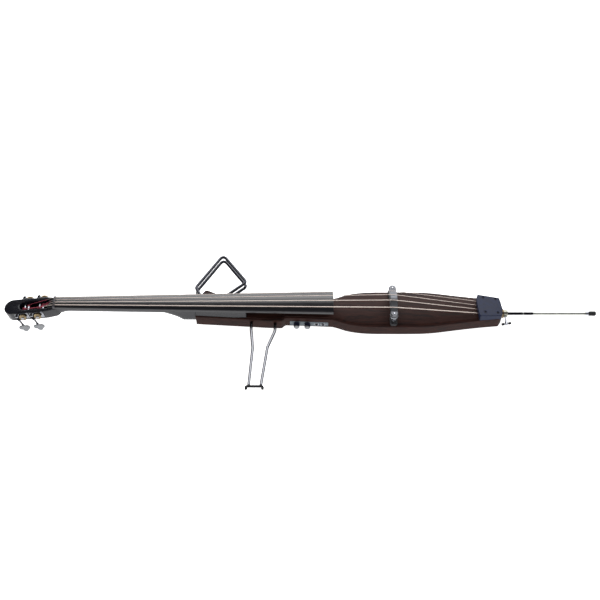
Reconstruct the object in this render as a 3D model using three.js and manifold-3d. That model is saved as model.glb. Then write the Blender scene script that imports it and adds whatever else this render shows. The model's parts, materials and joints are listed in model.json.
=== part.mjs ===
// Electric double bass of three-quarter string length, laid on its back.
// Instrument frame, in millimetres: x = 0 at the bridge, +x towards the endpin, -y the bass (E string)
// side, +z out of the playing face, z = 0 on the endpin's axis. The whole group is tipped and lifted at
// the end so that the tail edge of the back and the lowest tuning keys stand on z = 0.
import * as THREE from "three";
import { mergeVertices } from "three/addons/utils/BufferGeometryUtils.js";
import Module from "manifold-3d";

const wasm = await Module();
wasm.setup();

// Driving sizes shared by several pieces
const fit = 0.3; // gap kept where two pieces meet
const overrun = 4; // how far a cutter passes the face that it cuts
const stringLength = 1060; // nut to bridge
const nutX = -stringLength;
const bodyFrontX = -622;
const bodyTailX = 340; // where the side walls of the body end
const tailBulge = 10; // how far the end face is rounded out past that
const backZ = -18;
const edgeZ = 25; // upper edge of the body's sides
const crown = 9; // rise of the arched top above its edge at full width
const fullHalfWidth = 68.7;
const boardBottomZ = 54; // joint between the neck and the fingerboard
const boardEndX = -188;
const boardNutHalf = 21.5;
const boardEndHalf = 42.5;
const neckEndX = -461;
const slotted = 0.35; // slack between a string and its groove
const weld = 1e-4; // points closer than this are one point
const arcSteps = 3; // straight pieces to each corner arc of an outline
const roundSides = 16; // sides of the wider turned pieces
const overlapDepth = 0.2; // how far two solids that are joined run into each other

// Material table: colour, roughness, metalness
const finishes = {
  wood: [0x3a2622, 0.42, 0],
  satinBlack: [0x33333b, 0.4, 0.1],
  ebony: [0x1c1b20, 0.35, 0.1],
  chrome: [0xc9cbd0, 0.2, 1],
  greyKey: [0x93958f, 0.5, 0.8],
  brass: [0xb59a70, 0.35, 0.9],
  steel: [0xa59a92, 0.35, 0.9],
  darkChrome: [0x4b4d57, 0.25, 1],
  slate: [0x3c4258, 0.45, 0.1],
  rubber: [0x0c0c14, 0.8, 0],
  bone: [0x3a3838, 0.5, 0],
  plastic: [0x1b1f2b, 0.5, 0],
  circuit: [0x24513a, 0.6, 0],
  knobNavy: [0x232842, 0.35, 0.3],
};

// Solids and geometries

// A closed solid from a three.js geometry, with the vertices that coincide merged.
function solidOf(geometry) {
  const bare = geometry.index ? geometry.toNonIndexed() : geometry.clone();
  for (const name of Object.keys(bare.attributes)) {
    if (name !== "position") bare.deleteAttribute(name);
  }
  const merged = mergeVertices(bare, weld);
  const index = merged.index.array;
  const kept = [];
  for (let i = 0; i < index.length; i += 3) {
    const [a, b, c] = [index[i], index[i + 1], index[i + 2]];
    if (a !== b && b !== c && c !== a) kept.push(a, b, c);
  }
  const make = (triangles) =>
    new wasm.Manifold(
      new wasm.Mesh({
        numProp: 3,
        vertProperties: merged.attributes.position.array,
        triVerts: new Uint32Array(triangles),
      }),
    );
  const solid = make(kept);
  if (solid.volume() > 0) return solid;
  for (let i = 0; i < kept.length; i += 3) {
    [kept[i + 1], kept[i + 2]] = [kept[i + 2], kept[i + 1]];
  }
  return make(kept);
}

function geometryOf(solid) {
  const mesh = solid.getMesh();
  const geometry = new THREE.BufferGeometry();
  geometry.setAttribute("position", new THREE.BufferAttribute(mesh.vertProperties, 3));
  geometry.setIndex(new THREE.BufferAttribute(mesh.triVerts, 1));
  geometry.computeVertexNormals();
  return geometry;
}

// Skin through a list of closed rings with equally many points, capped by a fan at each end.
function loft(rings) {
  const count = rings[0].length;
  const points = rings.flat();
  const triangles = [];
  const corner = (ring, k) => ring * count + (k % count);
  for (let ring = 0; ring + 1 < rings.length; ring++) {
    for (let k = 0; k < count; k++) {
      const [a, b] = [corner(ring, k), corner(ring, k + 1)];
      const [c, d] = [corner(ring + 1, k), corner(ring + 1, k + 1)];
      triangles.push(a, b, d, a, d, c);
    }
  }
  for (const [ring, turned] of [[0, true], [rings.length - 1, false]]) {
    const middle = new THREE.Vector3();
    for (const point of rings[ring]) middle.add(point);
    points.push(middle.divideScalar(count));
    for (let k = 0; k < count; k++) {
      const pair = [corner(ring, k), corner(ring, k + 1)];
      if (turned) pair.reverse();
      triangles.push(...pair, points.length - 1);
    }
  }
  const geometry = new THREE.BufferGeometry().setFromPoints(points);
  geometry.setIndex(triangles);
  return solidOf(geometry);
}

function shapeOf(points) {
  return new THREE.Shape(points.map(([a, b]) => new THREE.Vector2(a, b)));
}

function extruded(shape, depth) {
  return new THREE.ExtrudeGeometry(shape, { depth, bevelEnabled: false, curveSegments: arcSteps });
}

// Outline in x and y, raised from one height to another.
function slab(shape, low, high) {
  return solidOf(extruded(shape, high - low).translate(0, 0, low));
}

// Outline in x and z, carried along y between two places.
function panel(shape, low, high) {
  return solidOf(extruded(shape, high - low).rotateX(Math.PI / 2).translate(0, high, 0));
}

// Outline in y and z, carried along x between two places.
function beam(shape, low, high) {
  const [x, y, z] = [0, 1, 2].map((k) => new THREE.Vector3().setComponent(k, 1));
  const geometry = extruded(shape, high - low);
  geometry.applyMatrix4(new THREE.Matrix4().makeBasis(y, z, x));
  return solidOf(geometry.translate(low, 0, 0));
}

function rounded(width, height, radius) {
  const [w, h] = [width / 2, height / 2];
  const shape = new THREE.Shape();
  shape.absarc(w - radius, h - radius, radius, 0, Math.PI / 2);
  shape.absarc(radius - w, h - radius, radius, Math.PI / 2, Math.PI);
  shape.absarc(radius - w, radius - h, radius, Math.PI, 1.5 * Math.PI);
  shape.absarc(w - radius, radius - h, radius, 1.5 * Math.PI, 2 * Math.PI);
  return shape;
}

function block(low, high) {
  const size = new THREE.Vector3().subVectors(high, low);
  const geometry = new THREE.BoxGeometry(size.x, size.y, size.z);
  const middle = new THREE.Vector3().addVectors(low, high).multiplyScalar(0.5);
  return solidOf(geometry.translate(middle.x, middle.y, middle.z));
}

const vec = (x, y, z) => new THREE.Vector3(x, y, z);

// Round solid from a profile of [radius, distance] pairs, about an axis that leaves a point.
function turned(profile, axis = vec(0, 1, 0), start = vec(0, 0, 0), segments = 12) {
  const points = profile.map(([r, d]) => new THREE.Vector2(r, d));
  const geometry = new THREE.LatheGeometry(points, segments);
  const turn = new THREE.Quaternion().setFromUnitVectors(vec(0, 1, 0), axis.clone().normalize());
  geometry.applyQuaternion(turn);
  return solidOf(geometry.translate(start.x, start.y, start.z));
}

function cylinder(radius, length, axis, start, segments) {
  return turned([[0, 0], [radius, 0], [radius, length], [0, length]], axis, start, segments);
}

// Curve that steps exactly through its points, so that a tube's rings lie where it bends.
class Route extends THREE.Curve {
  constructor(points) {
    super();
    this.points = points;
  }
  getPoint(t) {
    const place = t * (this.points.length - 1);
    const k = Math.min(Math.floor(place), this.points.length - 2);
    return this.points[k].clone().lerp(this.points[k + 1], place - k);
  }
  getPointAt(t) {
    return this.getPoint(t);
  }
  getTangentAt(t) {
    const last = this.points.length - 1;
    const k = Math.round(t * last);
    const after = this.points[Math.min(k + 1, last)];
    const before = this.points[Math.max(k - 1, 0)];
    return after.clone().sub(before).normalize();
  }
}

function tube(points, radius, sides) {
  const section = new THREE.Shape();
  for (let k = 0; k < sides; k++) {
    const angle = (2 * Math.PI * k) / sides;
    const place = [radius * Math.cos(angle), radius * Math.sin(angle)];
    if (k === 0) section.moveTo(...place);
    else section.lineTo(...place);
  }
  const geometry = new THREE.ExtrudeGeometry(section, {
    steps: points.length - 1,
    bevelEnabled: false,
    extrudePath: new Route(points),
  });
  return solidOf(geometry);
}

// Points of a polyline whose corners are rounded with a radius.
function roundedRoute(corners, radius, steps) {
  const points = [corners[0]];
  for (let k = 1; k + 1 < corners.length; k++) {
    const into = corners[k].clone().sub(corners[k - 1]).normalize();
    const out = corners[k + 1].clone().sub(corners[k]).normalize();
    const half = into.angleTo(out) / 2;
    const back = radius * Math.tan(half);
    const start = corners[k].clone().addScaledVector(into, -back);
    const end = corners[k].clone().addScaledVector(out, back);
    for (let step = 0; step <= steps; step++) {
      const t = step / steps;
      const a = start.clone().lerp(corners[k], t);
      const b = corners[k].clone().lerp(end, t);
      points.push(a.lerp(b, t));
    }
  }
  points.push(corners[corners.length - 1]);
  return points;
}

// The assembly

const instrument = new THREE.Group();
const bass = new THREE.Group();
bass.add(instrument);

function place(name, solid, finish, parent = instrument) {
  const [color, roughness, metalness] = finishes[finish];
  const material = new THREE.MeshStandardMaterial({ color, roughness, metalness });
  const mesh = new THREE.Mesh(geometryOf(solid), material);
  mesh.name = name;
  parent.add(mesh);
  return mesh;
}

// Body: a solid slab of dark wood, slim behind the neck, waisted at the controls, wide at the bridge

const waistX = -340; // where the body steps in for the control section
const waistRun = 14; // length of that step
const flareX = -190; // where the control section ends and the lower bout flares out

// Half widths along each stretch, as shares of that stretch and of the full half width
const upperShares = [[0, 0.44], [0.3, 0.515], [0.6, 0.59], [0.95, 0.672], [1, 0.675]];
const controlShares = [[0, 0.517], [0.3, 0.535], [0.7, 0.575], [1, 0.604]];
const boutShares = [
  [0, 0.604], [0.03, 0.675], [0.08, 0.82], [0.14, 0.925], [0.19, 0.973], [0.25, 0.995],
  [0.33, 1], [0.46, 1], [0.55, 0.985], [0.62, 0.94], [0.68, 0.875], [0.75, 0.795],
  [0.84, 0.7], [0.92, 0.627], [1, 0.568],
];

function stretch(shares, from, to) {
  return shares.map(([along, wide]) => [from + along * (to - from), wide * fullHalfWidth]);
}

const tailCorner = 7; // radius of the tail's corners seen from the face
const boutSamples = 20;
const tailEndShares = [0.35, 0.75, 1]; // stations over the rounded end, as shares of its bulge
const tailTaperShare = 0.75; // how much narrower the end face is at its peak
const bodyStations = (() => {
  const bout = stretch(boutShares, flareX, bodyTailX - tailCorner);
  const curve = new THREE.SplineCurve(bout.map(([x, w]) => new THREE.Vector2(x, w)));
  const stations = [
    ...stretch(upperShares, bodyFrontX, waistX),
    ...stretch(controlShares, waistX + waistRun, flareX),
  ];
  for (let k = 1; k <= boutSamples; k++) {
    const point = curve.getPoint(k / boutSamples);
    stations.push([point.x, point.y]);
  }
  const [, tailHalf] = bout[bout.length - 1];
  for (const angle of [Math.PI / 6, Math.PI / 3]) {
    stations.push([
      bodyTailX - tailCorner + tailCorner * Math.sin(angle),
      tailHalf - tailCorner * (1 - Math.cos(angle)),
    ]);
  }
  for (const share of tailEndShares) {
    const narrowed = 1 - tailTaperShare * share * share;
    stations.push([bodyTailX + share * tailBulge, (tailHalf - tailCorner) * narrowed]);
  }
  return stations;
})();

// Half width of the body at a place along it.
function bodyHalf(x) {
  let k = 1;
  while (k + 1 < bodyStations.length && bodyStations[k][0] < x) k++;
  const [[x0, w0], [x1, w1]] = [bodyStations[k - 1], bodyStations[k]];
  return w0 + ((w1 - w0) * (x - x0)) / (x1 - x0);
}

const backChamfer = 3;
const edgeRound = 5;
const crownFlats = 8; // straight pieces across the arched top
const crownShare = (half) => (crown * half) / fullHalfWidth;

// Section: flat back with small chamfers, upright sides, a rounded edge and a crowned top
function bodyRing(x, half) {
  const ring = [vec(x, backChamfer - half, backZ), vec(x, -half, backZ + backChamfer)];
  const rise = crownShare(half);
  for (const angle of [0, Math.PI / 6, Math.PI / 3]) {
    const y = half - edgeRound * (1 - Math.cos(angle));
    ring.push(vec(x, -y, edgeZ - edgeRound * (1 - Math.sin(angle))));
  }
  for (let k = 0; k <= crownFlats; k++) {
    const y = (half - edgeRound) * ((2 * k) / crownFlats - 1);
    ring.push(vec(x, y, edgeZ + rise * (1 - (y / half) ** 2)));
  }
  for (const angle of [Math.PI / 3, Math.PI / 6, 0]) {
    const y = half - edgeRound * (1 - Math.cos(angle));
    ring.push(vec(x, y, edgeZ - edgeRound * (1 - Math.sin(angle))));
  }
  ring.push(vec(x, half, backZ + backChamfer), vec(x, half - backChamfer, backZ));
  return ring;
}

const slabBody = loft(bodyStations.map(([x, half]) => bodyRing(x, half)));

// Shoulder horn on the treble side, which carries the shoulder bow
const hornPeakX = -594;
const hornReach = 74;
const hornRun = 62; // from the peak back to the body's side
const hornFrontShare = 0.55; // height of the horn's front shoulder, as a share of its reach
const hornTailShare = 1.3; // where the horn's flank dies into the side, as a share of its run
// The horn's outline from front to back: share of its run from the peak, share of its reach
const hornShares = [[-0.2, 0.83], [-0.05, 0.98], [0.05, 0.99], [0.52, 0.81], [1, 0.55]];
const hornTailX = hornPeakX + hornTailShare * hornRun;
const hornOutline = [
  [bodyFrontX + overrun, bodyHalf(bodyFrontX) - overrun],
  [bodyFrontX + overrun, hornFrontShare * hornReach],
  ...hornShares.map(([along, out]) => [hornPeakX + along * hornRun, out * hornReach]),
  [hornTailX, bodyHalf(hornTailX) - overrun],
];
const hornBevel = 3;
const hornBody = (() => {
  const geometry = new THREE.ExtrudeGeometry(shapeOf(hornOutline), {
    depth: edgeZ - backZ - 2 * hornBevel,
    bevelSize: hornBevel,
    bevelOffset: -hornBevel,
    bevelThickness: hornBevel,
    bevelSegments: 2,
  });
  return solidOf(geometry.translate(0, 0, backZ + hornBevel));
})();

// Neck tenon and its pocket in the body
const tenonHalf = 17;
const tenonEndX = -500;
const tenonZ = 6;
const tongueInset = 3.5; // the tongue is this much slimmer than the body on each side
const tongueHalf = (x) => bodyHalf(x) - tongueInset;

// Endpin parts on the x axis
const tailFaceX = bodyTailX + tailBulge;
const pinRadius = 4.8;
const pinSlack = 0.25;
const socketRadius = 12;
const socketLength = 70;
const flangeRadius = 14.5;
const flangeThick = 7;
const flangeSink = 1; // how deep the flange sits in the rounded end face
const collarRadius = 12.5;
const collarThick = 13;
const pinStroke = 215; // how far the rod slides into the body
const pinOut = 250; // rod showing past the collar when drawn out
const pinInside = 62; // rod left inside the socket when drawn out
const ferruleRadius = 6.5;
const ferruleLength = 9;
const tipRadius = 7.6;
const tipLength = 23;
const tipShoulder = 3;
const collarX = tailFaceX - flangeSink + flangeThick + fit;
const collarEndX = collarX + collarThick;
const rodStartX = collarEndX - pinInside - collarThick;
const rodEndX = collarEndX + pinOut;

// Chest rest rods enter the bass side here
const restXs = [-446, -371];
const restZ = 12;
const restRadius = 4.3;
const restSlack = 0.25;
const restDepth = 48;
const restIn = 20; // how far the rest can be pushed in from where it stands

// Controls: a long plate let into the bass side of the waist
const panelX = -264;
const panelLength = 122;
const panelHeight = 21;
const panelThick = 2;
const panelZ = -2.5;
const panelSlope = Math.atan2(
  bodyHalf(flareX) - bodyHalf(waistX + waistRun),
  flareX - waistX - waistRun,
);
const panelProud = 0.5; // how far the plate stands out of the side
const panelRecess = panelThick - panelProud;
const panelCorner = 3;
const cavityLength = 112;
const cavityDepth = 46;
const cavityHeight = 18.4;
const controls = new THREE.Group();
controls.position.set(panelX, -bodyHalf(panelX), panelZ);
controls.rotation.z = -panelSlope;
instrument.add(controls);
controls.updateMatrixWorld(true);

// Moves a solid from the controls' frame, y = 0 on the side face and +y inwards, to the instrument's.
function fromControls(solid) {
  controls.updateMatrix();
  return solid.transform([...controls.matrix.elements]);
}

// Shoulder bow: two rods bent alike, one above the other, both ends let into the horn
const bowRadius = 4.2;
const bowGap = 23; // between the two rods' axes
const bowZ = 5;
const bowBend = 14;
const bowBendSteps = 5;
const rodSides = 8; // sides of the bent rods
const bowPlug = 14; // length let into the horn
const bowLeft = [-630, 92];
const bowApex = [-548, 228];
const bowRight = [-467, 114];
const bowEntryLeft = [-609, 50];
const bowEntryRight = [-540, 50];

function bowRoute(z, plug) {
  const at = ([x, y]) => vec(x, y, z);
  const [left, apex, right] = [bowLeft, bowApex, bowRight].map(at);
  const [entryLeft, entryRight] = [bowEntryLeft, bowEntryRight].map(at);
  const inLeft = entryLeft.clone().sub(left).normalize();
  const inRight = entryRight.clone().sub(right).normalize();
  return roundedRoute(
    [
      entryLeft.clone().addScaledVector(inLeft, plug),
      left,
      apex,
      right,
      entryRight.clone().addScaledVector(inRight, plug),
    ],
    bowBend,
    bowBendSteps,
  );
}

const bowHeights = [bowZ + bowGap / 2, bowZ - bowGap / 2];

// Strings, side by side: each one's place in spacings from the middle, its radius, whether it lies higher
const nutSpacing = 9.4;
const bridgeSpacing = 21.4;
const stringSet = [
  { name: "E", seat: -1.5, radius: 1.35, lift: 0 },
  { name: "A", seat: -0.5, radius: 1.1, lift: 1 },
  { name: "D", seat: 0.5, radius: 0.85, lift: 1 },
  { name: "G", seat: 1.5, radius: 0.65, lift: 0 },
];
const strings = stringSet.map((string) => ({
  ...string,
  nutY: string.seat * nutSpacing,
  bridgeY: string.seat * bridgeSpacing,
}));
const nutStringZ = 66.5;
const nutLift = 1.6; // inner strings above the outer ones at the nut
const bridgeStringZ = 77.5;
const bridgeLift = 9;
const tailStringZ = 34.8;
const ballDrop = 1; // how far the ball end lies below the string's hole
const tailSpread = 0.72; // spacing at the tailpiece, as a part of the bridge spacing

// Tailpiece block
const tailBlockX = 268;
const tailInset = 1;
const tailBlockEndX = bodyTailX - tailInset;
const tailBlockTop = 44.5; // at its front end
const tailBlockLow = 35.8; // top at its tail end
const tailBlockWall = 4;

// Neck and head frame: the head is tipped back about the nut
const headZ = 37;
const headTilt = (7.5 * Math.PI) / 180;
const head = new THREE.Group();
head.position.set(nutX, 0, headZ);
head.rotation.y = -headTilt;
instrument.add(head);

function fromHead(solid) {
  head.updateMatrix();
  return solid.transform([...head.matrix.elements]);
}

// Body with its pockets and bores
const neckPocket = block(
  vec(bodyFrontX - overrun, -tenonHalf - fit, tenonZ - fit),
  vec(tenonEndX + fit, tenonHalf + fit, edgeZ + crown + overrun),
);
const cavity = fromControls(
  panel(rounded(cavityLength, cavityHeight, panelCorner), -overrun, cavityDepth),
);
const panelPocket = fromControls(
  panel(
    rounded(panelLength + 2 * fit, panelHeight + 2 * fit, panelCorner),
    -overrun,
    panelRecess + fit,
  ),
);
const socketBore = cylinder(
  socketRadius + fit,
  socketLength + tailBulge + overrun,
  vec(1, 0, 0),
  vec(tailFaceX - socketLength - fit, 0, 0),
  roundSides,
);
const rodBore = cylinder(
  pinRadius + 4 * pinSlack,
  pinStroke + pinInside + overrun,
  vec(1, 0, 0),
  vec(rodStartX - pinStroke - overrun, 0, 0),
);
const flangeSeat = cylinder(
  flangeRadius + overrun,
  tailBulge + overrun,
  vec(1, 0, 0),
  vec(tailFaceX - flangeSink - fit, 0, 0),
  roundSides,
);

let bodySolid = slabBody.add(hornBody);
bodySolid = bodySolid.subtract(neckPocket);
bodySolid = bodySolid.subtract(panelPocket);
bodySolid = bodySolid.subtract(cavity);
bodySolid = bodySolid.subtract(socketBore);
bodySolid = bodySolid.subtract(rodBore);
bodySolid = bodySolid.subtract(flangeSeat);
for (const x of restXs) {
  const depth = restDepth + restIn + overrun / 2;
  const start = vec(x, -bodyHalf(x) - overrun, restZ);
  bodySolid = bodySolid.subtract(
    cylinder(restRadius + restSlack, depth + overrun, vec(0, 1, 0), start),
  );
}
for (const z of bowHeights) {
  const route = bowRoute(z, bowPlug + fit);
  const plugs = [route.slice(0, 2), route.slice(-2)];
  for (const plug of plugs) {
    bodySolid = bodySolid.subtract(tube(plug, bowRadius + fit, rodSides));
  }
}
place("body", bodySolid, "wood");

// Neck: a D section down to the heel, a tongue over the body, a tenon in it and the slotted head

const neckDepth = 26;
const heelStartX = -718;
const heelCornerX = -661;
const heelZ = 0;
const heelDepth = boardBottomZ - heelZ;
const tongueZ = edgeZ - 3;
const boardHalf = (x) =>
  boardNutHalf + ((boardEndHalf - boardNutHalf) * (x - nutX)) / (boardEndX - nutX);
const neckInset = 0.6; // the neck is this much slimmer than the fingerboard on each side

const neckPower = 2.2; // superellipse power of the neck's section
const heelPower = 7;
const rootPower = 8;
const neckArc = 12; // straight pieces round the neck's back

// Section from edge to edge through the back, a superellipse whose corner fills out with power
function neckRing(x, half, depth, power) {
  const ring = [];
  for (let k = 0; k <= neckArc; k++) {
    const angle = (Math.PI * k) / neckArc;
    const c = Math.cos(angle);
    const s = Math.sin(angle);
    const y = -half * Math.sign(c) * Math.abs(c) ** (2 / power);
    ring.push(vec(x, y, boardBottomZ - fit / 2 - depth * s ** (2 / power)));
  }
  return ring;
}

const neckRings = [];
const neckSteps = 6;
const nutLedge = 8; // room for the nut behind the fingerboard
const neckRoot = 22; // run of the neck inside the head block
for (let k = 0; k <= neckSteps; k++) {
  const start = nutX + nutLedge - (k === 0 ? neckRoot : 0);
  const x = start + ((heelStartX - nutX - nutLedge) * k) / neckSteps;
  neckRings.push(neckRing(x, boardHalf(x) - neckInset, neckDepth, neckPower));
}
const heelSteps = 6;
for (let k = 1; k <= heelSteps; k++) {
  const t = k / heelSteps;
  const x = heelStartX + (heelCornerX - heelStartX) * t;
  const depth = neckDepth + (heelDepth - neckDepth) * t * t;
  const power = neckPower + (heelPower - neckPower) * t;
  neckRings.push(neckRing(x, boardHalf(x) - neckInset, depth, power));
}
neckRings.push(
  neckRing(bodyFrontX - fit, bodyHalf(bodyFrontX) - neckInset, heelDepth, rootPower),
);

function tongueRing(x) {
  const half = Math.min(tongueHalf(x), boardHalf(x) - neckInset);
  return [
    vec(x, -half, boardBottomZ - fit / 2),
    vec(x, -half, tongueZ),
    vec(x, half, tongueZ),
    vec(x, half, boardBottomZ - fit / 2),
  ];
}

const bodyGap = slabBody.translate([0, 0, fit]).add(slabBody);
const tongue = loft(
  [bodyFrontX - neckRoot, (bodyFrontX + neckEndX) / 2, neckEndX].map(tongueRing),
).subtract(bodyGap);
const tenon = block(
  vec(bodyFrontX - neckRoot, -tenonHalf, tenonZ),
  vec(tenonEndX, tenonHalf, boardBottomZ - overrun),
);

// Head block, in the head's own frame: outline from the nut to the rounded top end
const headLength = 168;
const headHalf = 28;
const headThick = 38;
const headEndRound = headHalf; // the end is a half circle
const headSmooth = 3;
const voluteRun = 6; // how far behind the nut the underside starts to rise
const voluteEnd = 28; // and how far past it the head block runs out
const voluteHalf = 19; // half width of the block there
const voluteSteps = 8;
const headNeckHalf = boardNutHalf + 1; // half width where the head meets the nut
const headFlare = 26; // run over which it widens to the cheeks
const headEndArcs = 5; // straight pieces to each quarter of the round end
const headBlock = (() => {
  const shape = new THREE.Shape();
  const endX = headEndRound - headLength;
  const endY = headHalf - headEndRound;
  shape.moveTo(voluteEnd, -voluteHalf);
  shape.lineTo(voluteEnd, voluteHalf);
  shape.lineTo(0, headNeckHalf);
  shape.lineTo(-headFlare, headHalf);
  shape.lineTo(endX, headHalf);
  shape.absarc(endX, endY, headEndRound, Math.PI / 2, Math.PI);
  shape.absarc(endX, -endY, headEndRound, Math.PI, 1.5 * Math.PI);
  shape.lineTo(-headFlare, -headHalf);
  shape.lineTo(0, -headNeckHalf);
  const geometry = new THREE.ExtrudeGeometry(shape, {
    depth: headThick - 2 * headSmooth,
    bevelSize: headSmooth,
    bevelOffset: -headSmooth,
    bevelThickness: headSmooth,
    bevelSegments: 2,
    curveSegments: headEndArcs,
  });
  return solidOf(geometry.translate(0, 0, headSmooth - headThick / 2));
})();

// The head block's underside runs out into the neck in an S-curve under the nut
const volute = (() => {
  const points = [[voluteEnd + overrun, -headThick / 2 - overrun]];
  for (let k = 0; k <= voluteSteps; k++) {
    const share = k / voluteSteps;
    const rise = (headThick / 4) * (1 - Math.cos(Math.PI * share));
    points.push([(voluteEnd + voluteRun) * share - voluteRun, rise - headThick / 2]);
  }
  points.splice(1, 0, [-voluteRun, -headThick / 2 - overrun]);
  points.push([voluteEnd + overrun, 0]);
  return panel(shapeOf(points), -headHalf - overrun, headHalf + overrun);
})();

// Open slot for the string rollers, with a floor at the back and a half-round far end
const slotHalf = 16;
const slotNear = 22;
const slotFar = 118;
const slotFloor = 6;
const slotCorner = 5; // at the end near the nut
const slotCut = (() => {
  const nearX = -slotNear - slotCorner;
  const nearY = slotHalf - slotCorner;
  const shape = new THREE.Shape();
  shape.absarc(nearX, nearY, slotCorner, 0, Math.PI / 2);
  shape.absarc(slotHalf - slotFar, 0, slotHalf, Math.PI / 2, 1.5 * Math.PI);
  shape.absarc(nearX, -nearY, slotCorner, 1.5 * Math.PI, 2 * Math.PI);
  return slab(shape, slotFloor - headThick / 2, headThick);
})();

// Tuning machines: station along the head and the side that carries the machine
const rollerZ = 4.5;
const machines = [
  { name: "E", along: -104.5, side: -1 },
  { name: "G", along: -92.5, side: 1 },
  { name: "A", along: -56.5, side: -1 },
  { name: "D", along: -44.5, side: 1 },
];
const farCheek = 7; // how far a roller runs into the cheek opposite its machine
const rollerRadius = 4.4;
const gearTeeth = 20;
const wormLead = 3.4; // one thread to the turn
const gearPitch = (gearTeeth * wormLead) / (2 * Math.PI);
const wormPitch = 5;
const meshAddendum = 0.8;
const meshDedendum = 1.05;
const gearFace = 5;
const gearTooth = 1.35; // at the pitch circle
const wormTooth = 1;
const toothFlank = Math.tan((20 * Math.PI) / 180);
const threadSink = 0.4; // how deep the thread runs into its core
const wormRun = 15; // threaded length
const wormSlant = (2 * Math.PI) / 180;
const wormReach = gearPitch + wormPitch;
const plateThick = 2;
const wormOut = plateThick + wormPitch + meshAddendum + 2 * fit; // worm axis above the cheek
const shaftRadius = 2.6;
const shaftSlack = 0.25;
const lugThick = 4;
const lugGap = 0.4; // end play of the worm between its lugs
const keyStem = 42.5; // from the worm's middle to the key's lower edge
const keyThick = 4;
const keyLobe = 9.2;
const keyEdge = 1;
const keyNeck = 6.5;
const keyNeckLong = 13;
const keySideShare = 0.42; // height of the side lobes' middles, as a share of the lobe radius
const keyTopShare = 1.5; // and of the top lobe's middle

let headSolid = headBlock.subtract(slotCut);
headSolid = headSolid.subtract(volute);
for (const machine of machines) {
  const far = machine.side * (slotHalf + farCheek);
  const length = headHalf + Math.abs(far) + 2 * overrun;
  const start = vec(machine.along, -far, rollerZ);
  const bore = cylinder(rollerRadius + shaftSlack, length, vec(0, machine.side, 0), start, 12);
  headSolid = headSolid.subtract(bore);
}
let neckSolid = loft(neckRings);
neckSolid = neckSolid.add(tongue);
neckSolid = neckSolid.add(tenon);
neckSolid = neckSolid.add(fromHead(headSolid));
const boardSeat = block(
  vec(nutX - nutLedge - fit, -boardEndHalf, boardBottomZ - fit / 2),
  vec(boardEndX, boardEndHalf, boardBottomZ + headThick),
);
neckSolid = neckSolid.subtract(boardSeat);
place("neck", neckSolid, "satinBlack");

// Fingerboard: flat below, arched above, widening to its free end over the body
const boardEdgeNut = 7;
const boardEdgeEnd = 8;
const boardCamberNut = 66;
const boardCamberEnd = 72;
const boardScoop = 2.5; // relief under the free end
const boardMargin = 8; // edge left round that relief
const boardArc = 12; // straight pieces across the board

function boardRing(x, t) {
  const half = boardHalf(x);
  const edge = boardBottomZ + fit / 2 + boardEdgeNut + (boardEdgeEnd - boardEdgeNut) * t;
  const camber = boardCamberNut + (boardCamberEnd - boardCamberNut) * t;
  const ring = [vec(x, half, boardBottomZ + fit / 2), vec(x, -half, boardBottomZ + fit / 2)];
  const drop = Math.sqrt(camber ** 2 - half ** 2);
  for (let k = 0; k <= boardArc; k++) {
    const y = half * ((2 * k) / boardArc - 1);
    ring.push(vec(x, y, edge + Math.sqrt(camber ** 2 - y ** 2) - drop));
  }
  return ring;
}

const boardStartX = nutX + fit;
const boardRings = [];
const boardSteps = 4;
for (let k = 0; k <= boardSteps; k++) {
  const t = k / boardSteps;
  boardRings.push(boardRing(boardStartX + (boardEndX - boardStartX) * t, t));
}
const boardHollow = block(
  vec(neckEndX + 2 * boardMargin, boardMargin - boardHalf(neckEndX), boardBottomZ - overrun),
  vec(boardEndX + overrun, boardHalf(neckEndX) - boardMargin, boardBottomZ + boardScoop),
);
place("fingerboard", loft(boardRings).subtract(boardHollow), "ebony");

// Nut with a groove for each string
const nutThick = 7.5;
const nutTop = nutStringZ + 1;
const nutOutline = [];
const nutArc = 8;
const nutHalf = boardNutHalf;
const nutEdgeShare = 0.12; // drop of the nut's ends, as a share of its half width
const nutArchShare = 0.2; // rise of its middle
nutOutline.push([nutHalf, boardBottomZ + fit / 2], [-nutHalf, boardBottomZ + fit / 2]);
for (let k = 0; k <= nutArc; k++) {
  const y = nutHalf * ((2 * k) / nutArc - 1);
  const arch = nutArchShare * (1 - (y / nutHalf) ** 2);
  nutOutline.push([y, nutTop + nutHalf * (arch - nutEdgeShare)]);
}

// Route of each string, from its roller over the nut and the bridge to the tailpiece

function headPoint(x, y, z) {
  head.updateMatrix();
  return vec(x, y, z).applyMatrix4(head.matrix);
}

const windTurns = 2.5;
const windSteps = 12;
const windGap = 0.45; // between one turn and the next
const outerExitShare = 0.62; // where a string leaves its roller, as a share of its place at the nut
const innerExitShare = 0.8;
const stringSides = 6;
const nutBackShare = 0.06; // bend behind the nut, as a share of the way to the roller
const bridgeFrontShare = 0.006; // bend before the bridge, as a share of the way to the nut
const bridgeBackShare = 0.025; // bend behind it, as a share of the way to the tailpiece
const anchorRun = 22;
const anchorX = tailBlockX + anchorRun; // where the string ends inside the tailpiece

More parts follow.
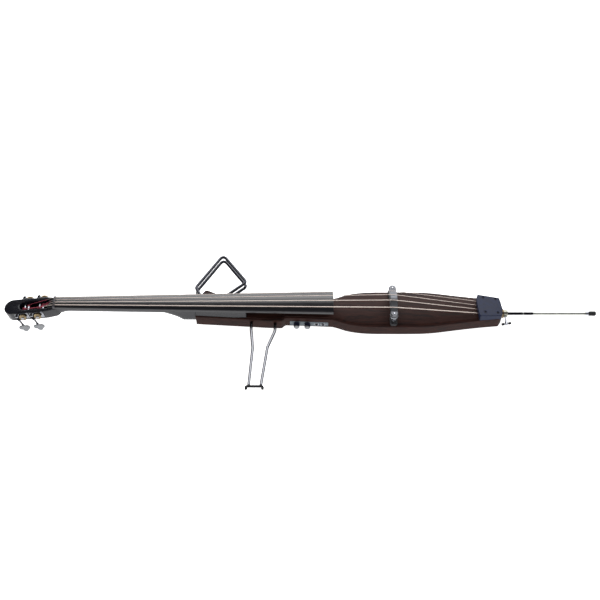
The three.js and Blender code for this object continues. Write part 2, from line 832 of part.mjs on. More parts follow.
function stringRoute(string) {
  const machine = machines.find((entry) => entry.name === string.name);
  const reach = rollerRadius + fit + string.radius;
  const nutPoint = vec(nutX - nutThick / 2, string.nutY, nutStringZ + string.lift * nutLift);
  const local = nutPoint.clone().applyMatrix4(head.matrix.clone().invert());
  const [dx, dz] = [local.x - machine.along, local.z - rollerZ];
  const leave = Math.atan2(dz, dx) + Math.acos(reach / Math.hypot(dx, dz));
  const pitch = 2 * string.radius + windGap;
  const outer = Math.abs(string.nutY) > slotHalf / 2;
  const exitY = string.nutY * (outer ? outerExitShare : innerExitShare);
  const drift = Math.sign(string.nutY) * (outer ? -1 : 1);
  const points = [];
  const total = windTurns * windSteps;
  for (let k = 0; k <= total; k++) {
    const back = (total - k) / windSteps; // turns still to go before the string leaves the roller
    const angle = leave + 2 * Math.PI * back;
    const y = exitY + drift * pitch * back;
    const x = machine.along + reach * Math.cos(angle);
    points.push(headPoint(x, y, rollerZ + reach * Math.sin(angle)));
  }
  const bridgePoint = vec(0, string.bridgeY, bridgeStringZ + string.lift * bridgeLift);
  const tailPoint = vec(tailBlockX, string.bridgeY * tailSpread, tailStringZ);
  const inside = vec(anchorX, string.bridgeY * tailSpread, tailStringZ - ballDrop);
  const nutFront = nutPoint.clone().lerp(bridgePoint, nutThick / 2 / stringLength);
  const nutBack = nutPoint.clone().lerp(points[points.length - 1], nutBackShare);
  points.push(nutBack, nutFront);
  points.push(bridgePoint.clone().lerp(nutFront, bridgeFrontShare));
  points.push(bridgePoint.clone().lerp(tailPoint, bridgeBackShare));
  points.push(tailPoint, inside);
  return points;
}

const routes = strings.map(stringRoute);
strings.forEach((string, k) => {
  place(`string_${string.name}`, tube(routes[k], string.radius, stringSides), "steel");
});

// Grooves and holes that clear the strings
function withoutStrings(solid) {
  return strings.reduce((left, string, k) => {
    const open = routes[k].slice(windTurns * windSteps);
    return left.subtract(tube(open, string.radius + slotted, stringSides));
  }, solid);
}

const nutSolid = beam(shapeOf(nutOutline), nutX - nutThick, nutX - fit / 2);
place("nut", withoutStrings(nutSolid), "bone");

// Tuning machines

// Straight teeth with slanting flanks; a gap faces the worm
function gearShape(facing) {
  const points = [];
  const tip = gearPitch + meshAddendum;
  const root = gearPitch - meshDedendum;
  const halfAt = (radius) => (gearTooth / 2 - (radius - gearPitch) * toothFlank) / radius;
  for (let k = 0; k < gearTeeth; k++) {
    const middle = facing + ((k + 0.5) * 2 * Math.PI) / gearTeeth;
    for (const [radius, turn] of [[root, -1], [tip, -1], [tip, 1], [root, 1]]) {
      const angle = middle + turn * halfAt(radius);
      points.push([radius * Math.cos(angle), radius * Math.sin(angle)]);
    }
  }
  return shapeOf(points);
}

// Thread of the worm about +y: a trapezoid carried round a helix, sunk a little into its core
function wormThread() {
  const steps = 10;
  const turns = (wormRun - 2 * wormTooth) / wormLead;
  const root = wormPitch - meshDedendum - threadSink;
  const tip = wormPitch + meshAddendum;
  const halfRoot = wormTooth / 2 + (wormPitch - root) * toothFlank;
  const halfTip = wormTooth / 2 - (tip - wormPitch) * toothFlank;
  const count = Math.round(turns * steps);
  const rings = [];
  for (let k = 0; k <= count; k++) {
    const angle = (2 * Math.PI * (k - count / 2)) / steps;
    const rise = (wormLead * (k - count / 2)) / steps;
    const section = [[root, -halfRoot], [tip, -halfTip], [tip, halfTip], [root, halfRoot]];
    rings.push(
      section.map(([r, d]) => vec(r * Math.cos(angle), rise + d, r * Math.sin(angle))),
    );
  }
  return loft(rings);
}

// Clover-leaf key in the plane of the cheek: three round lobes that run into each other, on a short neck
function keySolid() {
  const side = vec(keyLobe, keySideShare * keyLobe, 0);
  const top = vec(0, keyTopShare * keyLobe, 0);
  const across = top.clone().sub(side);
  const notch = side.clone().add(top).multiplyScalar(0.5);
  const out = vec(-across.y, across.x, 0).normalize().multiplyScalar(-1);
  notch.addScaledVector(out, Math.sqrt(keyLobe ** 2 - across.lengthSq() / 4));
  const angleAt = (point, middle) => Math.atan2(point.y - middle.y, point.x - middle.x);
  const topStart = angleAt(notch, top);
  const sideEnd = angleAt(notch, side);
  const neckHalf = keyNeck / 2;
  const sideStart = -0.62 * Math.PI;
  const shape = new THREE.Shape();
  shape.moveTo(-neckHalf, -keyNeckLong);
  shape.lineTo(neckHalf, -keyNeckLong);
  shape.absarc(side.x, side.y, keyLobe, sideStart, sideEnd);
  shape.absarc(top.x, top.y, keyLobe, topStart, Math.PI - topStart);
  shape.absarc(-side.x, side.y, keyLobe, Math.PI - sideEnd, Math.PI - sideStart);
  const geometry = new THREE.ExtrudeGeometry(shape, {
    depth: keyThick - 2 * keyEdge,
    bevelSize: keyEdge,
    bevelOffset: -keyEdge,
    bevelThickness: keyEdge,
    bevelSegments: 1,
    curveSegments: 4,
  });
  return solidOf(geometry.translate(0, 0, keyEdge - keyThick / 2));
}

const thread = wormThread();
const gearMiddle = wormOut; // the gear lies in the worm's plane

// Frame of one worm: +y runs down the shaft to the key, +x faces the gear, origin at the worm's middle
function wormMatrix(machine) {
  const down = vec(Math.sin(wormSlant), 0, -Math.cos(wormSlant));
  const gearward = vec(Math.cos(wormSlant), 0, Math.sin(wormSlant));
  const outward = vec(0, -1, 0);
  const matrix = new THREE.Matrix4().makeBasis(gearward, down, outward);
  const middle = vec(machine.along, 0, rollerZ).addScaledVector(gearward, -wormReach);
  matrix.setPosition(middle.x, -headHalf - wormOut, middle.z);
  return matrix;
}

const lugPlaces = [-wormRun / 2 - lugGap - lugThick, wormRun / 2 + lugGap];
const lugWall = 2.6;
const lugHalf = shaftRadius + lugWall;
const plateLength = 44;
const plateHeight = 27;
const plateCorner = 6;
const plateShift = 3.5; // the plate's middle lies this far from the roller, towards the worm
const plateDrop = 1; // and this far below it
const smallSides = 10; // sides of the worm and its shaft
const wormStub = 2; // end of the shaft past the far lug
const hubWall = 1.6;
const spindleRadius = 2.6; // end of the roller that carries the gear
const capRise = 2;

machines.forEach((machine) => {
  const matrix = wormMatrix(machine);
  const inMachine = (solid) => solid.transform([...matrix.elements]);
  const facing = Math.atan2(-Math.sin(wormSlant), -Math.cos(wormSlant));
  const axis = vec(0, -1, 0);
  const flip = vec(1, -machine.side, 1);
  const add = (name, solid, finish) => {
    const mesh = place(`${name}_${machine.name}`, solid, finish, head);
    mesh.scale.copy(flip);
    return mesh;
  };

  // Plate screwed to the cheek, with two lugs that hold the worm
  const plateShape = rounded(plateLength, plateHeight, plateCorner);
  let plate = panel(plateShape, -headHalf - plateThick, -headHalf - fit);
  plate = plate.translate([machine.along - plateShift, 0, rollerZ - plateDrop]);
  for (const low of lugPlaces) {
    const base = block(
      vec(-lugHalf, low, -wormOut + fit + overlapDepth),
      vec(lugHalf, low + lugThick, 0),
    );
    const eye = cylinder(lugHalf, lugThick, vec(0, 1, 0), vec(0, low, 0), smallSides);
    plate = plate.add(inMachine(base)).add(inMachine(eye));
  }
  const shaftHole = cylinder(
    shaftRadius + shaftSlack,
    wormRun + 4 * lugThick,
    vec(0, 1, 0),
    vec(0, -wormRun / 2 - 2 * lugThick, 0),
    12,
  );
  plate = plate.subtract(inMachine(shaftHole));
  const axleHole = cylinder(
    rollerRadius + shaftSlack,
    4 * plateThick,
    axis,
    vec(machine.along, -headHalf + 2 * plateThick, rollerZ),
    12,
  );
  plate = plate.subtract(axleHole);
  add("tuner_plate", plate, "chrome");

  // Worm, shaft and key in one
  const coreRadius = wormPitch - meshDedendum;
  let worm = cylinder(coreRadius, wormRun, vec(0, 1, 0), vec(0, -wormRun / 2, 0), smallSides);
  worm = worm.add(thread);
  const stub = wormRun / 2 + lugGap + lugThick + wormStub;
  worm = worm.add(
    cylinder(shaftRadius, stub + keyStem, vec(0, 1, 0), vec(0, -stub, 0), smallSides),
  );
  worm = worm.add(keySolid().translate([0, keyStem + keyLobe / 2, 0]));
  add("tuner_key", inMachine(worm), "greyKey");

  // Gear on the roller's end
  let gear = panel(gearShape(facing), -gearFace / 2, gearFace / 2);
  gear = gear.translate([machine.along, -headHalf - gearMiddle, rollerZ]);
  const hub = cylinder(
    rollerRadius + hubWall,
    gearMiddle - gearFace / 2 - plateThick - fit + overlapDepth,
    vec(0, -1, 0),
    vec(machine.along, -headHalf - plateThick - fit, rollerZ),
    12,
  );
  gear = gear.add(hub);
  const spindleBore = cylinder(
    spindleRadius + fit / 2,
    4 * gearFace,
    vec(0, -1, 0),
    vec(machine.along, -headHalf, rollerZ),
    12,
  );
  gear = gear.subtract(spindleBore);
  add("tuner_gear", gear, "brass");

  // String roller through both cheeks, with a spindle and cap for the gear
  const farEnd = slotHalf + farCheek - 1;
  const shoulder = -headHalf - plateThick - fit / 2;
  const gearTopY = -headHalf - gearMiddle - gearFace / 2;
  const capStart = farEnd - gearTopY + fit;
  const roller = turned(
    [
      [0, 0],
      [rollerRadius, 0],
      [rollerRadius, farEnd - shoulder],
      [spindleRadius, farEnd - shoulder],
      [spindleRadius, capStart],
      [rollerRadius + hubWall / 2, capStart],
      [rollerRadius, capStart + hubWall],
      [0, capStart + capRise],
    ],
    vec(0, -1, 0),
    vec(machine.along, farEnd, rollerZ),
    12,
  );
  add("tuner_roller", roller, "chrome");
});

// Bridge: an arched metal bar on two threaded posts with thumb wheels, each on its own foot

const barHalf = 60;
const barWidth = 23;
const barBottom = 60;
const barEndTop = 70.5;
const postY = 50;
const postRadius = 4;
const wheelRadius = 9;
const wheelThick = 5;
const footLength = 34;
const footWidth = 23;
const footTop = 37;
const footCorner = 7;
const postSink = 5; // how deep a post stands in its foot
const postBevel = 1;
const wheelSlack = 0.2;
const wheelBevel = 1;
const barEndShare = 0.42; // corner radius of the bar's ends, as a share of its width
const bellShare = 0.62; // half width of the raised middle, as a share of the bar's half length
const fallStartShare = 0.85; // where the saddle line starts to fall, as a share of that middle
const fallRunShare = 0.35;

const barOutline = [[barHalf, barBottom], [-barHalf, barBottom]];
const barSteps = 16;
const saddleZ = bridgeStringZ - 1;
const saddleSpare = 1.4; // metal left above the middle strings' grooves
const saddleRise = bridgeLift + saddleSpare;
for (let k = 0; k <= barSteps; k++) {
  const y = barHalf * ((2 * k) / barSteps - 1);
  const spread = Math.abs(y) / (bellShare * barHalf);
  const bell = spread < 1 ? (1 + Math.cos(Math.PI * spread)) / 2 : 0;
  const shoulder = Math.max(0, 1 - Math.max(0, spread - fallStartShare) / fallRunShare);
  barOutline.push([y, barEndTop + (saddleZ - barEndTop) * shoulder + saddleRise * bell]);
}
let bar = beam(shapeOf(barOutline), -barWidth / 2, barWidth / 2);
const barPlan = rounded(barWidth, 2 * barHalf, barWidth * barEndShare);
const barEnds = slab(barPlan, barBottom - overrun, 2 * barBottom);
bar = bar.intersect(barEnds);
for (const side of [-1, 1]) {
  const hole = cylinder(
    postRadius + fit,
    2 * barBottom,
    vec(0, 0, 1),
    vec(0, side * postY, 0),
  );
  bar = bar.subtract(hole);
}
place("bridge_bar", withoutStrings(bar), "darkChrome");

const bodyLift = slabBody.translate([0, 0, fit]);
for (const [side, name] of [[-1, "bass"], [1, "treble"]]) {
  const at = (z) => vec(0, side * postY, z);
  const footShape = rounded(footWidth, footLength, footCorner);
  let foot = slab(footShape, edgeZ - crown, footTop).translate([0, side * postY, 0]);
  foot = foot.subtract(bodyLift);
  foot = foot.subtract(block(
    vec(-footWidth, side * postY - footLength, backZ),
    vec(footWidth, side * postY + footLength, edgeZ - edgeRound + fit),
  ));
  foot = foot.subtract(cylinder(postRadius + fit / 2, footTop, vec(0, 0, 1), at(footTop - postSink)));
  place(`bridge_foot_${name}`, foot, "rubber");
  const wheelTop = barBottom - fit;
  const postLength = barEndTop - footTop + postSink - fit;
  const post = turned(
    [
      [0, 0],
      [postRadius, 0],
      [postRadius, postLength],
      [postRadius - postBevel, postLength + postBevel],
      [0, postLength + postBevel],
    ],
    vec(0, 0, 1),
    at(footTop - postSink + fit),
  );
  place(`bridge_post_${name}`, post, "chrome");
  const boreRadius = postRadius + wheelSlack;
  const wheel = turned(
    [
      [boreRadius, 0],
      [wheelRadius - wheelBevel, 0],
      [wheelRadius, wheelBevel],
      [wheelRadius, wheelThick - wheelBevel],
      [wheelRadius - wheelBevel, wheelThick],
      [boreRadius, wheelThick],
      [boreRadius, 0],
    ],
    vec(0, 0, 1),
    at(wheelTop - wheelThick),
  );
  place(`bridge_wheel_${name}`, wheel, "chrome");
}

// Tailpiece: a tapered cover over a bar that anchors the ball ends

const coverSlant = 2; // how much narrower the cover is at its top
const coverInset = 1.5;
const coverLow = edgeZ - edgeRound;
const coverFrontX = tailBlockX + 3;
const coverFrontBow = 4; // how far the front is bowed out in the middle
const coverEndBow = 7; // and the end
const coverBevel = 1.5;
const coverArc = 3; // straight pieces in half of each bow

const coverSlope = (tailBlockLow - tailBlockTop) / (tailBlockEndX - coverFrontX);
const coverTop = (x) => tailBlockTop + coverSlope * (x - coverFrontX);

// Outline of the cover, narrowed by lean and moved in by inset all round, at heights given along x
function coverRing(heightAt, lean, inset) {
  const frontHalf = bodyHalf(tailBlockX) - coverInset - lean - inset;
  const endHalf = bodyHalf(tailBlockEndX - tailCorner) - coverInset - lean - inset;
  const ring = [];
  for (let k = -coverArc; k <= coverArc; k++) {
    const x = tailBlockEndX - inset + coverEndBow * (1 - (k / coverArc) ** 2);
    ring.push(vec(x, (endHalf * k) / coverArc, heightAt(x)));
  }
  for (let k = coverArc; k >= -coverArc; k--) {
    const x = coverFrontX + inset - coverFrontBow * (1 - (k / coverArc) ** 2);
    ring.push(vec(x, (frontHalf * k) / coverArc, heightAt(x)));
  }
  return ring;
}

let cover = loft([
  coverRing(() => coverLow, 0, 0),
  coverRing((x) => coverTop(x) - coverBevel, coverSlant, 0),
  coverRing(coverTop, coverSlant, coverBevel),
]);
const coverInside = loft([
  coverRing(() => coverLow - overrun, 0, tailBlockWall),
  coverRing((x) => coverTop(x) - tailBlockWall, coverSlant, tailBlockWall),
]);
cover = cover.subtract(coverInside).subtract(bodyLift);
place("tailpiece_cover", withoutStrings(cover), "slate");

const anchorHalf = 30;
const anchorDeep = 12;
const anchorCorner = 3;
const anchorPast = 2; // metal left behind the strings' ends
const anchorShape = rounded(anchorDeep, 2 * anchorHalf, anchorCorner);
const anchorTop = coverTop(anchorX + anchorPast) - tailBlockWall - fit;
let anchor = slab(anchorShape, edgeZ - crown, anchorTop);
anchor = anchor.translate([anchorX - fit - anchorDeep / 2 + anchorPast, 0, 0]);
anchor = anchor.subtract(bodyLift);
place("string_anchor", withoutStrings(anchor), "steel");

// Controls

const knobXs = [-39, -5];
const knobRadius = 10;
const knobLength = 17;
const jackXs = [23.5, 44];
const jackRadius = 6;
const jackBore = 3.3;
const jackFlange = 1; // rim of a jack's nut past its bush
const jackCase = 2; // and the case behind the plate
const jackRim = 2;
const jackLength = 34;
const jackFloor = 2;
const knobShaftRadius = 3;
const bushRadius = 4.4;
const potRadius = 8;
const potDepth = 7;
const potWall = 2;
const turnSlack = 0.2;
const knobSkirt = 2;
const knobTaper = 1;
const knobCrown = 3;
const knobDome = 0.6;
const knobHollow = 2.5;

const panelFaceY = -panelProud;
const panelOutline = rounded(panelLength, panelHeight, panelCorner);
let plateSolid = panel(panelOutline, panelFaceY, panelRecess);
const panelHoles = [
  ...knobXs.map((x) => [x, bushRadius + fit]),
  ...jackXs.map((x) => [x, jackRadius - jackFlange + fit]),
];
for (const [x, radius] of panelHoles) {
  plateSolid = plateSolid.subtract(
    cylinder(radius, 4 * panelThick, vec(0, 1, 0), vec(x, -2 * panelThick, 0)),
  );
}
place("control_plate", plateSolid, "plastic", controls);

["volume", "tone"].forEach((name, k) => {
  const x = knobXs[k];
  // Potentiometer: case behind the plate and threaded bush through it
  const caseStart = potWall + panelThick + fit;
  const caseEnd = potWall + panelThick + potDepth;
  const shaftBore = knobShaftRadius + turnSlack;
  const pot = turned(
    [
      [shaftBore, 0],
      [bushRadius, 0],
      [bushRadius, caseStart],
      [potRadius, caseStart],
      [potRadius, caseEnd],
      [0, caseEnd],
      [0, caseEnd - potWall],
      [shaftBore, caseEnd - potWall],
      [shaftBore, 0],
    ],
    vec(0, 1, 0),
    vec(x, panelFaceY - potWall, 0),
  );
  place(`pot_${name}`, pot, "steel", controls);
  const shaftStart = panelFaceY + panelThick + potDepth - potWall - fit;
  const shaftEnd = panelFaceY - knobLength + knobCrown - 1;
  const shaft = cylinder(
    knobShaftRadius,
    shaftStart - shaftEnd,
    vec(0, -1, 0),
    vec(x, shaftStart, 0),
  );
  place(`knob_shaft_${name}`, shaft, "steel", controls);
  const shaftSocket = knobShaftRadius + turnSlack;
  const socketEnd = knobLength - knobSkirt + fit;
  const knob = turned(
    [
      [bushRadius + 1, 0],
      [knobRadius, 0],
      [knobRadius, knobSkirt],
      [knobRadius - knobTaper, knobSkirt + knobTaper],
      [knobRadius - knobTaper, knobLength - knobSkirt],
      [knobRadius - knobCrown, knobLength],
      [0, knobLength + knobDome],
      [0, socketEnd],
      [shaftSocket, socketEnd],
      [shaftSocket, knobHollow],
      [bushRadius + 1, knobHollow],
      [bushRadius + 1, 0],
    ],
    vec(0, -1, 0),
    vec(x, panelFaceY - fit, 0),
    14,
  );
  place(`knob_${name}`, knob, "knobNavy", controls);
});

["output", "phones"].forEach((name, k) => {
  const behind = jackRim + panelThick + 2 * fit;
  const jack = turned(
    [
      [jackBore, 0],
      [jackRadius + jackFlange, 0],
      [jackRadius + jackFlange, jackRim],
      [jackRadius - jackFlange, jackRim],
      [jackRadius - jackFlange, behind],
      [jackRadius + jackCase, behind],
      [jackRadius + jackCase, jackLength],
      [0, jackLength],
      [0, jackLength - jackFloor],
      [jackBore, jackLength - jackFloor],
      [jackBore, 0],
    ],
    vec(0, 1, 0),
    vec(jackXs[k], panelFaceY - jackRim - fit, 0),
  );
  place(`jack_${name}`, jack, "chrome", controls);
});

// Preamplifier board at the floor of the cavity and its battery
const circuitX = -24;
const circuitLong = 52;
const circuitThick = 1.6;
const circuitLift = 7.5; // from the floor of the cavity to the board's component side
const circuitEdge = 2;
const circuitY = cavityDepth - circuitLift;
const circuitHalf = cavityHeight / 2 - circuitEdge;
const standoffRadius = 2;
const standoffXs = [-20, 22];
// Components: place along, width, height
const components = [[-14, 8, 5], [2, 6, 4], [14, 9, 3.5]];
let circuit = block(
  vec(circuitX, circuitY, -circuitHalf),
  vec(circuitX + circuitLong, circuitY + circuitThick, circuitHalf),
);
for (const [x, wide, deep] of components) {
  circuit = circuit.add(block(
    vec(x, circuitY - deep, -wide / 2),
    vec(x + wide, circuitY + overlapDepth, wide / 2),
  ));
}
for (const x of standoffXs) {
  const start = circuitY + circuitThick - overlapDepth;
  circuit = circuit.add(
    cylinder(standoffRadius, cavityDepth - fit - start, vec(0, 1, 0), vec(x, start, 0)),
  );
}
place("preamp_board", circuit, "circuit", controls);
const batteryX = -41.5;
const batteryWide = 26.5;
const batteryThick = 17.4;
const batteryLong = 31;
const batteryY = 14.7;
const batteryShape = rounded(batteryWide, batteryThick, standoffRadius);
const battery = panel(batteryShape, batteryY, batteryY + batteryLong);
place("battery", battery.translate([batteryX, 0, 0]), "plastic", controls);

// Endpin: flanged socket, collar with a wing screw, sliding rod with ferrule and rubber tip

const xAxis = vec(1, 0, 0);
const pinBore = pinRadius + pinSlack;
const rimBevel = 1;
const flangeStart = socketLength - flangeSink;
const flangeEnd = flangeStart + flangeThick;
place(
  "endpin_socket",
  turned(
    [
      [pinBore, 0],
      [socketRadius, 0],
      [socketRadius, flangeStart],
      [flangeRadius, flangeStart],
      [flangeRadius, flangeEnd - rimBevel],
      [flangeRadius - rimBevel, flangeEnd],
      [pinBore, flangeEnd],
      [pinBore, 0],
    ],
    xAxis,
    vec(tailFaceX - socketLength, 0, 0),
    roundSides,
  ),
  "brass",
);
const screwX = collarX + collarThick / 2 - 1.5;
const screwRadius = 2.5;
const screwSlack = 0.3;
let collar = turned(
  [
    [pinBore, 0],
    [collarRadius - rimBevel, 0],
    [collarRadius, rimBevel],
    [collarRadius, collarThick - 2 * rimBevel],
    [collarRadius - 2 * rimBevel, collarThick],
    [pinBore, collarThick],
    [pinBore, 0],
  ],
  xAxis,
  vec(collarX, 0, 0),
  roundSides,
);
collar = collar.subtract(
  cylinder(
    screwRadius + screwSlack,
    2 * collarRadius,
    vec(0, -1, 0),
    vec(screwX, 0, 0),
    roundSides,
  ),
);
place("endpin_collar", collar, "chrome");

const handleY = -40;
const handleHalf = 15;
const handleTurn = (15 * Math.PI) / 180; // how far it stands turned at rest
const handleRadius = 3.6;
const screwTipY = -pinRadius - fit;
const handleBoss = 4.5;
const bossLength = 9;
const handleAxis = vec(Math.cos(handleTurn), 0, Math.sin(handleTurn));
const handleStart = vec(screwX, handleY, 0).addScaledVector(handleAxis, -handleHalf);
let wing = cylinder(screwRadius, screwTipY - handleY, vec(0, -1, 0), vec(screwX, screwTipY, 0));
wing = wing.add(
  cylinder(handleRadius, 2 * handleHalf, handleAxis, handleStart),
);
wing = wing.add(
  cylinder(handleBoss, bossLength, vec(0, -1, 0), vec(screwX, handleY + bossLength - handleRadius, 0)),
);
place("endpin_screw", wing, "chrome");

// Rod with turned grooves at even steps over its visible length
const grooveStep = 32;
const grooveWide = 2;
const grooveDeep = 0.6;
const rodProfile = [[0, 0], [pinRadius - rimBevel, 0], [pinRadius, rimBevel]];
const rodLength = rodEndX - rodStartX;
for (let d = pinInside + 2 * grooveStep; d < rodLength - grooveStep / 2; d += grooveStep) {
  rodProfile.push([pinRadius, d - grooveWide / 2]);
  rodProfile.push([pinRadius - grooveDeep, d - grooveWide / 4]);
  rodProfile.push([pinRadius - grooveDeep, d + grooveWide / 4]);
  rodProfile.push([pinRadius, d + grooveWide / 2]);
}
rodProfile.push([pinRadius, rodLength], [0, rodLength]);
place("endpin_rod", turned(rodProfile, xAxis, vec(rodStartX, 0, 0), smallSides), "steel");
place(
  "endpin_ferrule",
  turned(
    [
      [0, fit],
      [pinRadius, fit],
      [ferruleRadius, fit + rimBevel],
      [ferruleRadius, ferruleLength - rimBevel],
      [ferruleRadius - rimBevel, ferruleLength],
      [0, ferruleLength],
    ],
    xAxis,
    vec(rodEndX, 0, 0),
  ),
  "chrome",
);
place(
  "endpin_tip",
  turned(
    [
      [0, 0],
      [ferruleRadius, 0],
      [tipRadius, tipShoulder],
      [tipRadius, tipLength - tipShoulder],
      [tipRadius - rimBevel, tipLength],
      [0, tipLength],
    ],
    xAxis,
    vec(rodEndX + ferruleLength + fit, 0, 0),
  ),
  "rubber",
);

// Shoulder bow
["upper", "lower"].forEach((name, k) => {
  const route = bowRoute(bowHeights[k], bowPlug);
  place(`shoulder_bow_${name}`, tube(route, bowRadius, rodSides), "darkChrome");
});

// Chest rest: two bent rods that plug into the bass side, joined by a short bar with hooked ends

const restReach = 274;
const restElbowY = 138;
const restElbowXs = [-439, -393.5];
const restEndXs = [-447, -410];
const restBend = 40;
const restBendSteps = 4;
const restRunShare = 0.75; // straight run out of the side, as a share of the bend radius
["left", "right"].forEach((name, k) => {
  const start = -bodyHalf(restXs[k]) + restDepth;
  const corners = [
    vec(restXs[k], start, restZ),
    vec(restXs[k], -bodyHalf(restXs[k]) - restRunShare * restBend, restZ),
    vec(restElbowXs[k], -restElbowY, restZ),
    vec(restEndXs[k], -restReach, restZ),
  ];
  const route = roundedRoute(corners, restBend, restBendSteps);
  place(`rest_rod_${name}`, tube(route, restRadius, rodSides), "darkChrome");
});
const restBarRadius = 4;
const restBarY = -(restReach + restBarRadius + fit);
const restHook = 9;
const hookBend = 5;
const hookLean = 2; // how far the hooks lean in
const barOverhangs = [9, 6]; // how far the bar runs past the rods
const restBarXs = [restEndXs[0] - barOverhangs[0], restEndXs[1] + barOverhangs[1]];
const hookPlace = (x) => vec(x, restBarY - restHook, restZ - restHook / 2);
const barRoute = roundedRoute(
  [
    hookPlace(restBarXs[0] + hookLean),
    vec(restBarXs[0], restBarY, restZ),
    vec(restBarXs[1], restBarY, restZ),
    hookPlace(restBarXs[1] - hookLean),
  ],
  hookBend,
  restBendSteps,
);
place("rest_bar", tube(barRoute, restBarRadius, rodSides), "rubber");

// Stand the bass on its lowest points: the tail edge of the back and the lowest keys
instrument.updateMatrixWorld(true);
const headBox = new THREE.Box3().setFromObject(head, true);
const keyLow = headBox.min.z;
const keyLowX = headPoint(machines[0].along, 0, 0).x;
const restAngle = Math.atan2(backZ - keyLow, bodyTailX - keyLowX);
instrument.rotation.y = restAngle;
bass.updateMatrixWorld(true);
const box = new THREE.Box3().setFromObject(bass, true);
instrument.position.set(-(box.min.x + box.max.x) / 2, -(box.min.y + box.max.y) / 2, -box.min.z);
bass.updateMatrixWorld(true);

export default bass;
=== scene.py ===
import json

import bpy
import numpy as np
from mathutils import Matrix


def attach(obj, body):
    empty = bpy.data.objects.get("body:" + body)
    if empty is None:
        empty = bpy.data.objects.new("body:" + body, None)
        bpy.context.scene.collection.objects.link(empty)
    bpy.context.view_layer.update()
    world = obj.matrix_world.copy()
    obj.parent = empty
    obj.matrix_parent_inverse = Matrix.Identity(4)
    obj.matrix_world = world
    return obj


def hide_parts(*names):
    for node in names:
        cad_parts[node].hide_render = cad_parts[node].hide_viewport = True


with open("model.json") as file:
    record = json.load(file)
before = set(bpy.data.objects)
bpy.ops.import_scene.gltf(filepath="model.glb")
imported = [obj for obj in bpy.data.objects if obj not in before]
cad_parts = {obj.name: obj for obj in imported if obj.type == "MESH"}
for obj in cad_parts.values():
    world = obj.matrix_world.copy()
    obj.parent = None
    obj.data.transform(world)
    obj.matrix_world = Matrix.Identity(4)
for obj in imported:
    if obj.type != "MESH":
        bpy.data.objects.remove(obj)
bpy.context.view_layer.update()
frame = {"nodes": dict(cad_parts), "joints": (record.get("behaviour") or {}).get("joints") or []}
joints = {joint["name"]: joint for joint in frame["joints"]}

MM = 0.001
TAU = 2 * np.pi


def unit(vector):
    """Vector, or each row of an array, divided by its length."""
    vector = np.asarray(vector, float)
    return vector / np.linalg.norm(vector, axis=-1, keepdims=True)


# The instrument's frame in the shared one: its x axis is the endpin's slide, and the two bridge wheels
# turn about points 57 mm above its origin.
WHEEL_JOINT_Z = 57.0
ALONG = unit(joints["endpin_slide"]["axis"])
ACROSS = np.array([0.0, 1.0, 0.0])
UP = np.cross(ALONG, ACROSS)
WHEEL_POINTS = [np.array(joints[f"wheel_{side}_turn"]["pos_m"]) for side in ("bass", "treble")]
ORIGIN = (WHEEL_POINTS[0] + WHEEL_POINTS[1]) / 2 - WHEEL_JOINT_Z * MM * UP


def shared(points):
    """Instrument millimetres to shared metres: origin + x along + y across + z up."""
    points = np.asarray(points, float) * MM
    return ORIGIN + points[..., 0:1] * ALONG + points[..., 1:2] * ACROSS + points[..., 2:3] * UP


# Sizes shared with the construction

NUT_X = -1060.0
BODY_FRONT_X = -622.0
BODY_TAIL_X = 340.0
TAIL_BULGE = 10.0
TAIL_CORNER = 7.0
BACK_Z = -18.0
EDGE_Z = 25.0
CROWN = 9.0
FULL_HALF = 68.7
BOARD_Z = 54.0
BOARD_END_X = -188.0
BOARD_NUT_HALF = 21.5
BOARD_END_HALF = 42.5
NECK_END_X = -461.0
FIT = 0.3

# A bevel so small that an edge stays sharp
SHARP = 0.01

# Meshes


class Mesh:
    """Points, faces and one material number a face, all in instrument millimetres."""

    def __init__(self, points, faces, slot=0):
        self.points = np.asarray(points, float).reshape(-1, 3)
        self.faces = [np.asarray(block, int) for block in faces]
        self.slots = [np.full(len(block), slot) for block in self.faces]

    def moved(self, matrix, shift=(0, 0, 0)):
        """Each point times a 3 x 3 matrix, plus a shift. A mirroring matrix turns the faces round."""
        matrix = np.asarray(matrix, float)
        copy = Mesh(self.points @ matrix.T + np.asarray(shift, float), [])
        turn = np.linalg.det(matrix) < 0
        copy.faces = [block[:, ::-1] if turn else block for block in self.faces]
        copy.slots = list(self.slots)
        return copy

    def painted(self, slot):
        """Gives every face one material number."""
        self.slots = [np.full(len(block), slot) for block in self.faces]
        return self


def joined(meshes):
    """Several meshes in one, their face numbers moved on by the points before them."""
    points, faces, slots, count = [], [], [], 0
    for mesh in meshes:
        points.append(mesh.points)
        faces += [block + count for block in mesh.faces]
        slots += mesh.slots
        count += len(mesh.points)
    result = Mesh(np.concatenate(points), [])
    result.faces, result.slots = faces, slots
    return result


def outward(mesh):
    """The same mesh with its faces turned round where the volume they enclose comes out negative."""
    volume = 0.0
    for block in mesh.faces:
        corners = mesh.points[block]
        for k in range(1, block.shape[1] - 1):
            cross = np.cross(corners[:, k], corners[:, k + 1])
            volume += np.einsum("ij,ij->", corners[:, 0], cross)
    if volume < 0:
        mesh.faces = [block[:, ::-1] for block in mesh.faces]
    return mesh


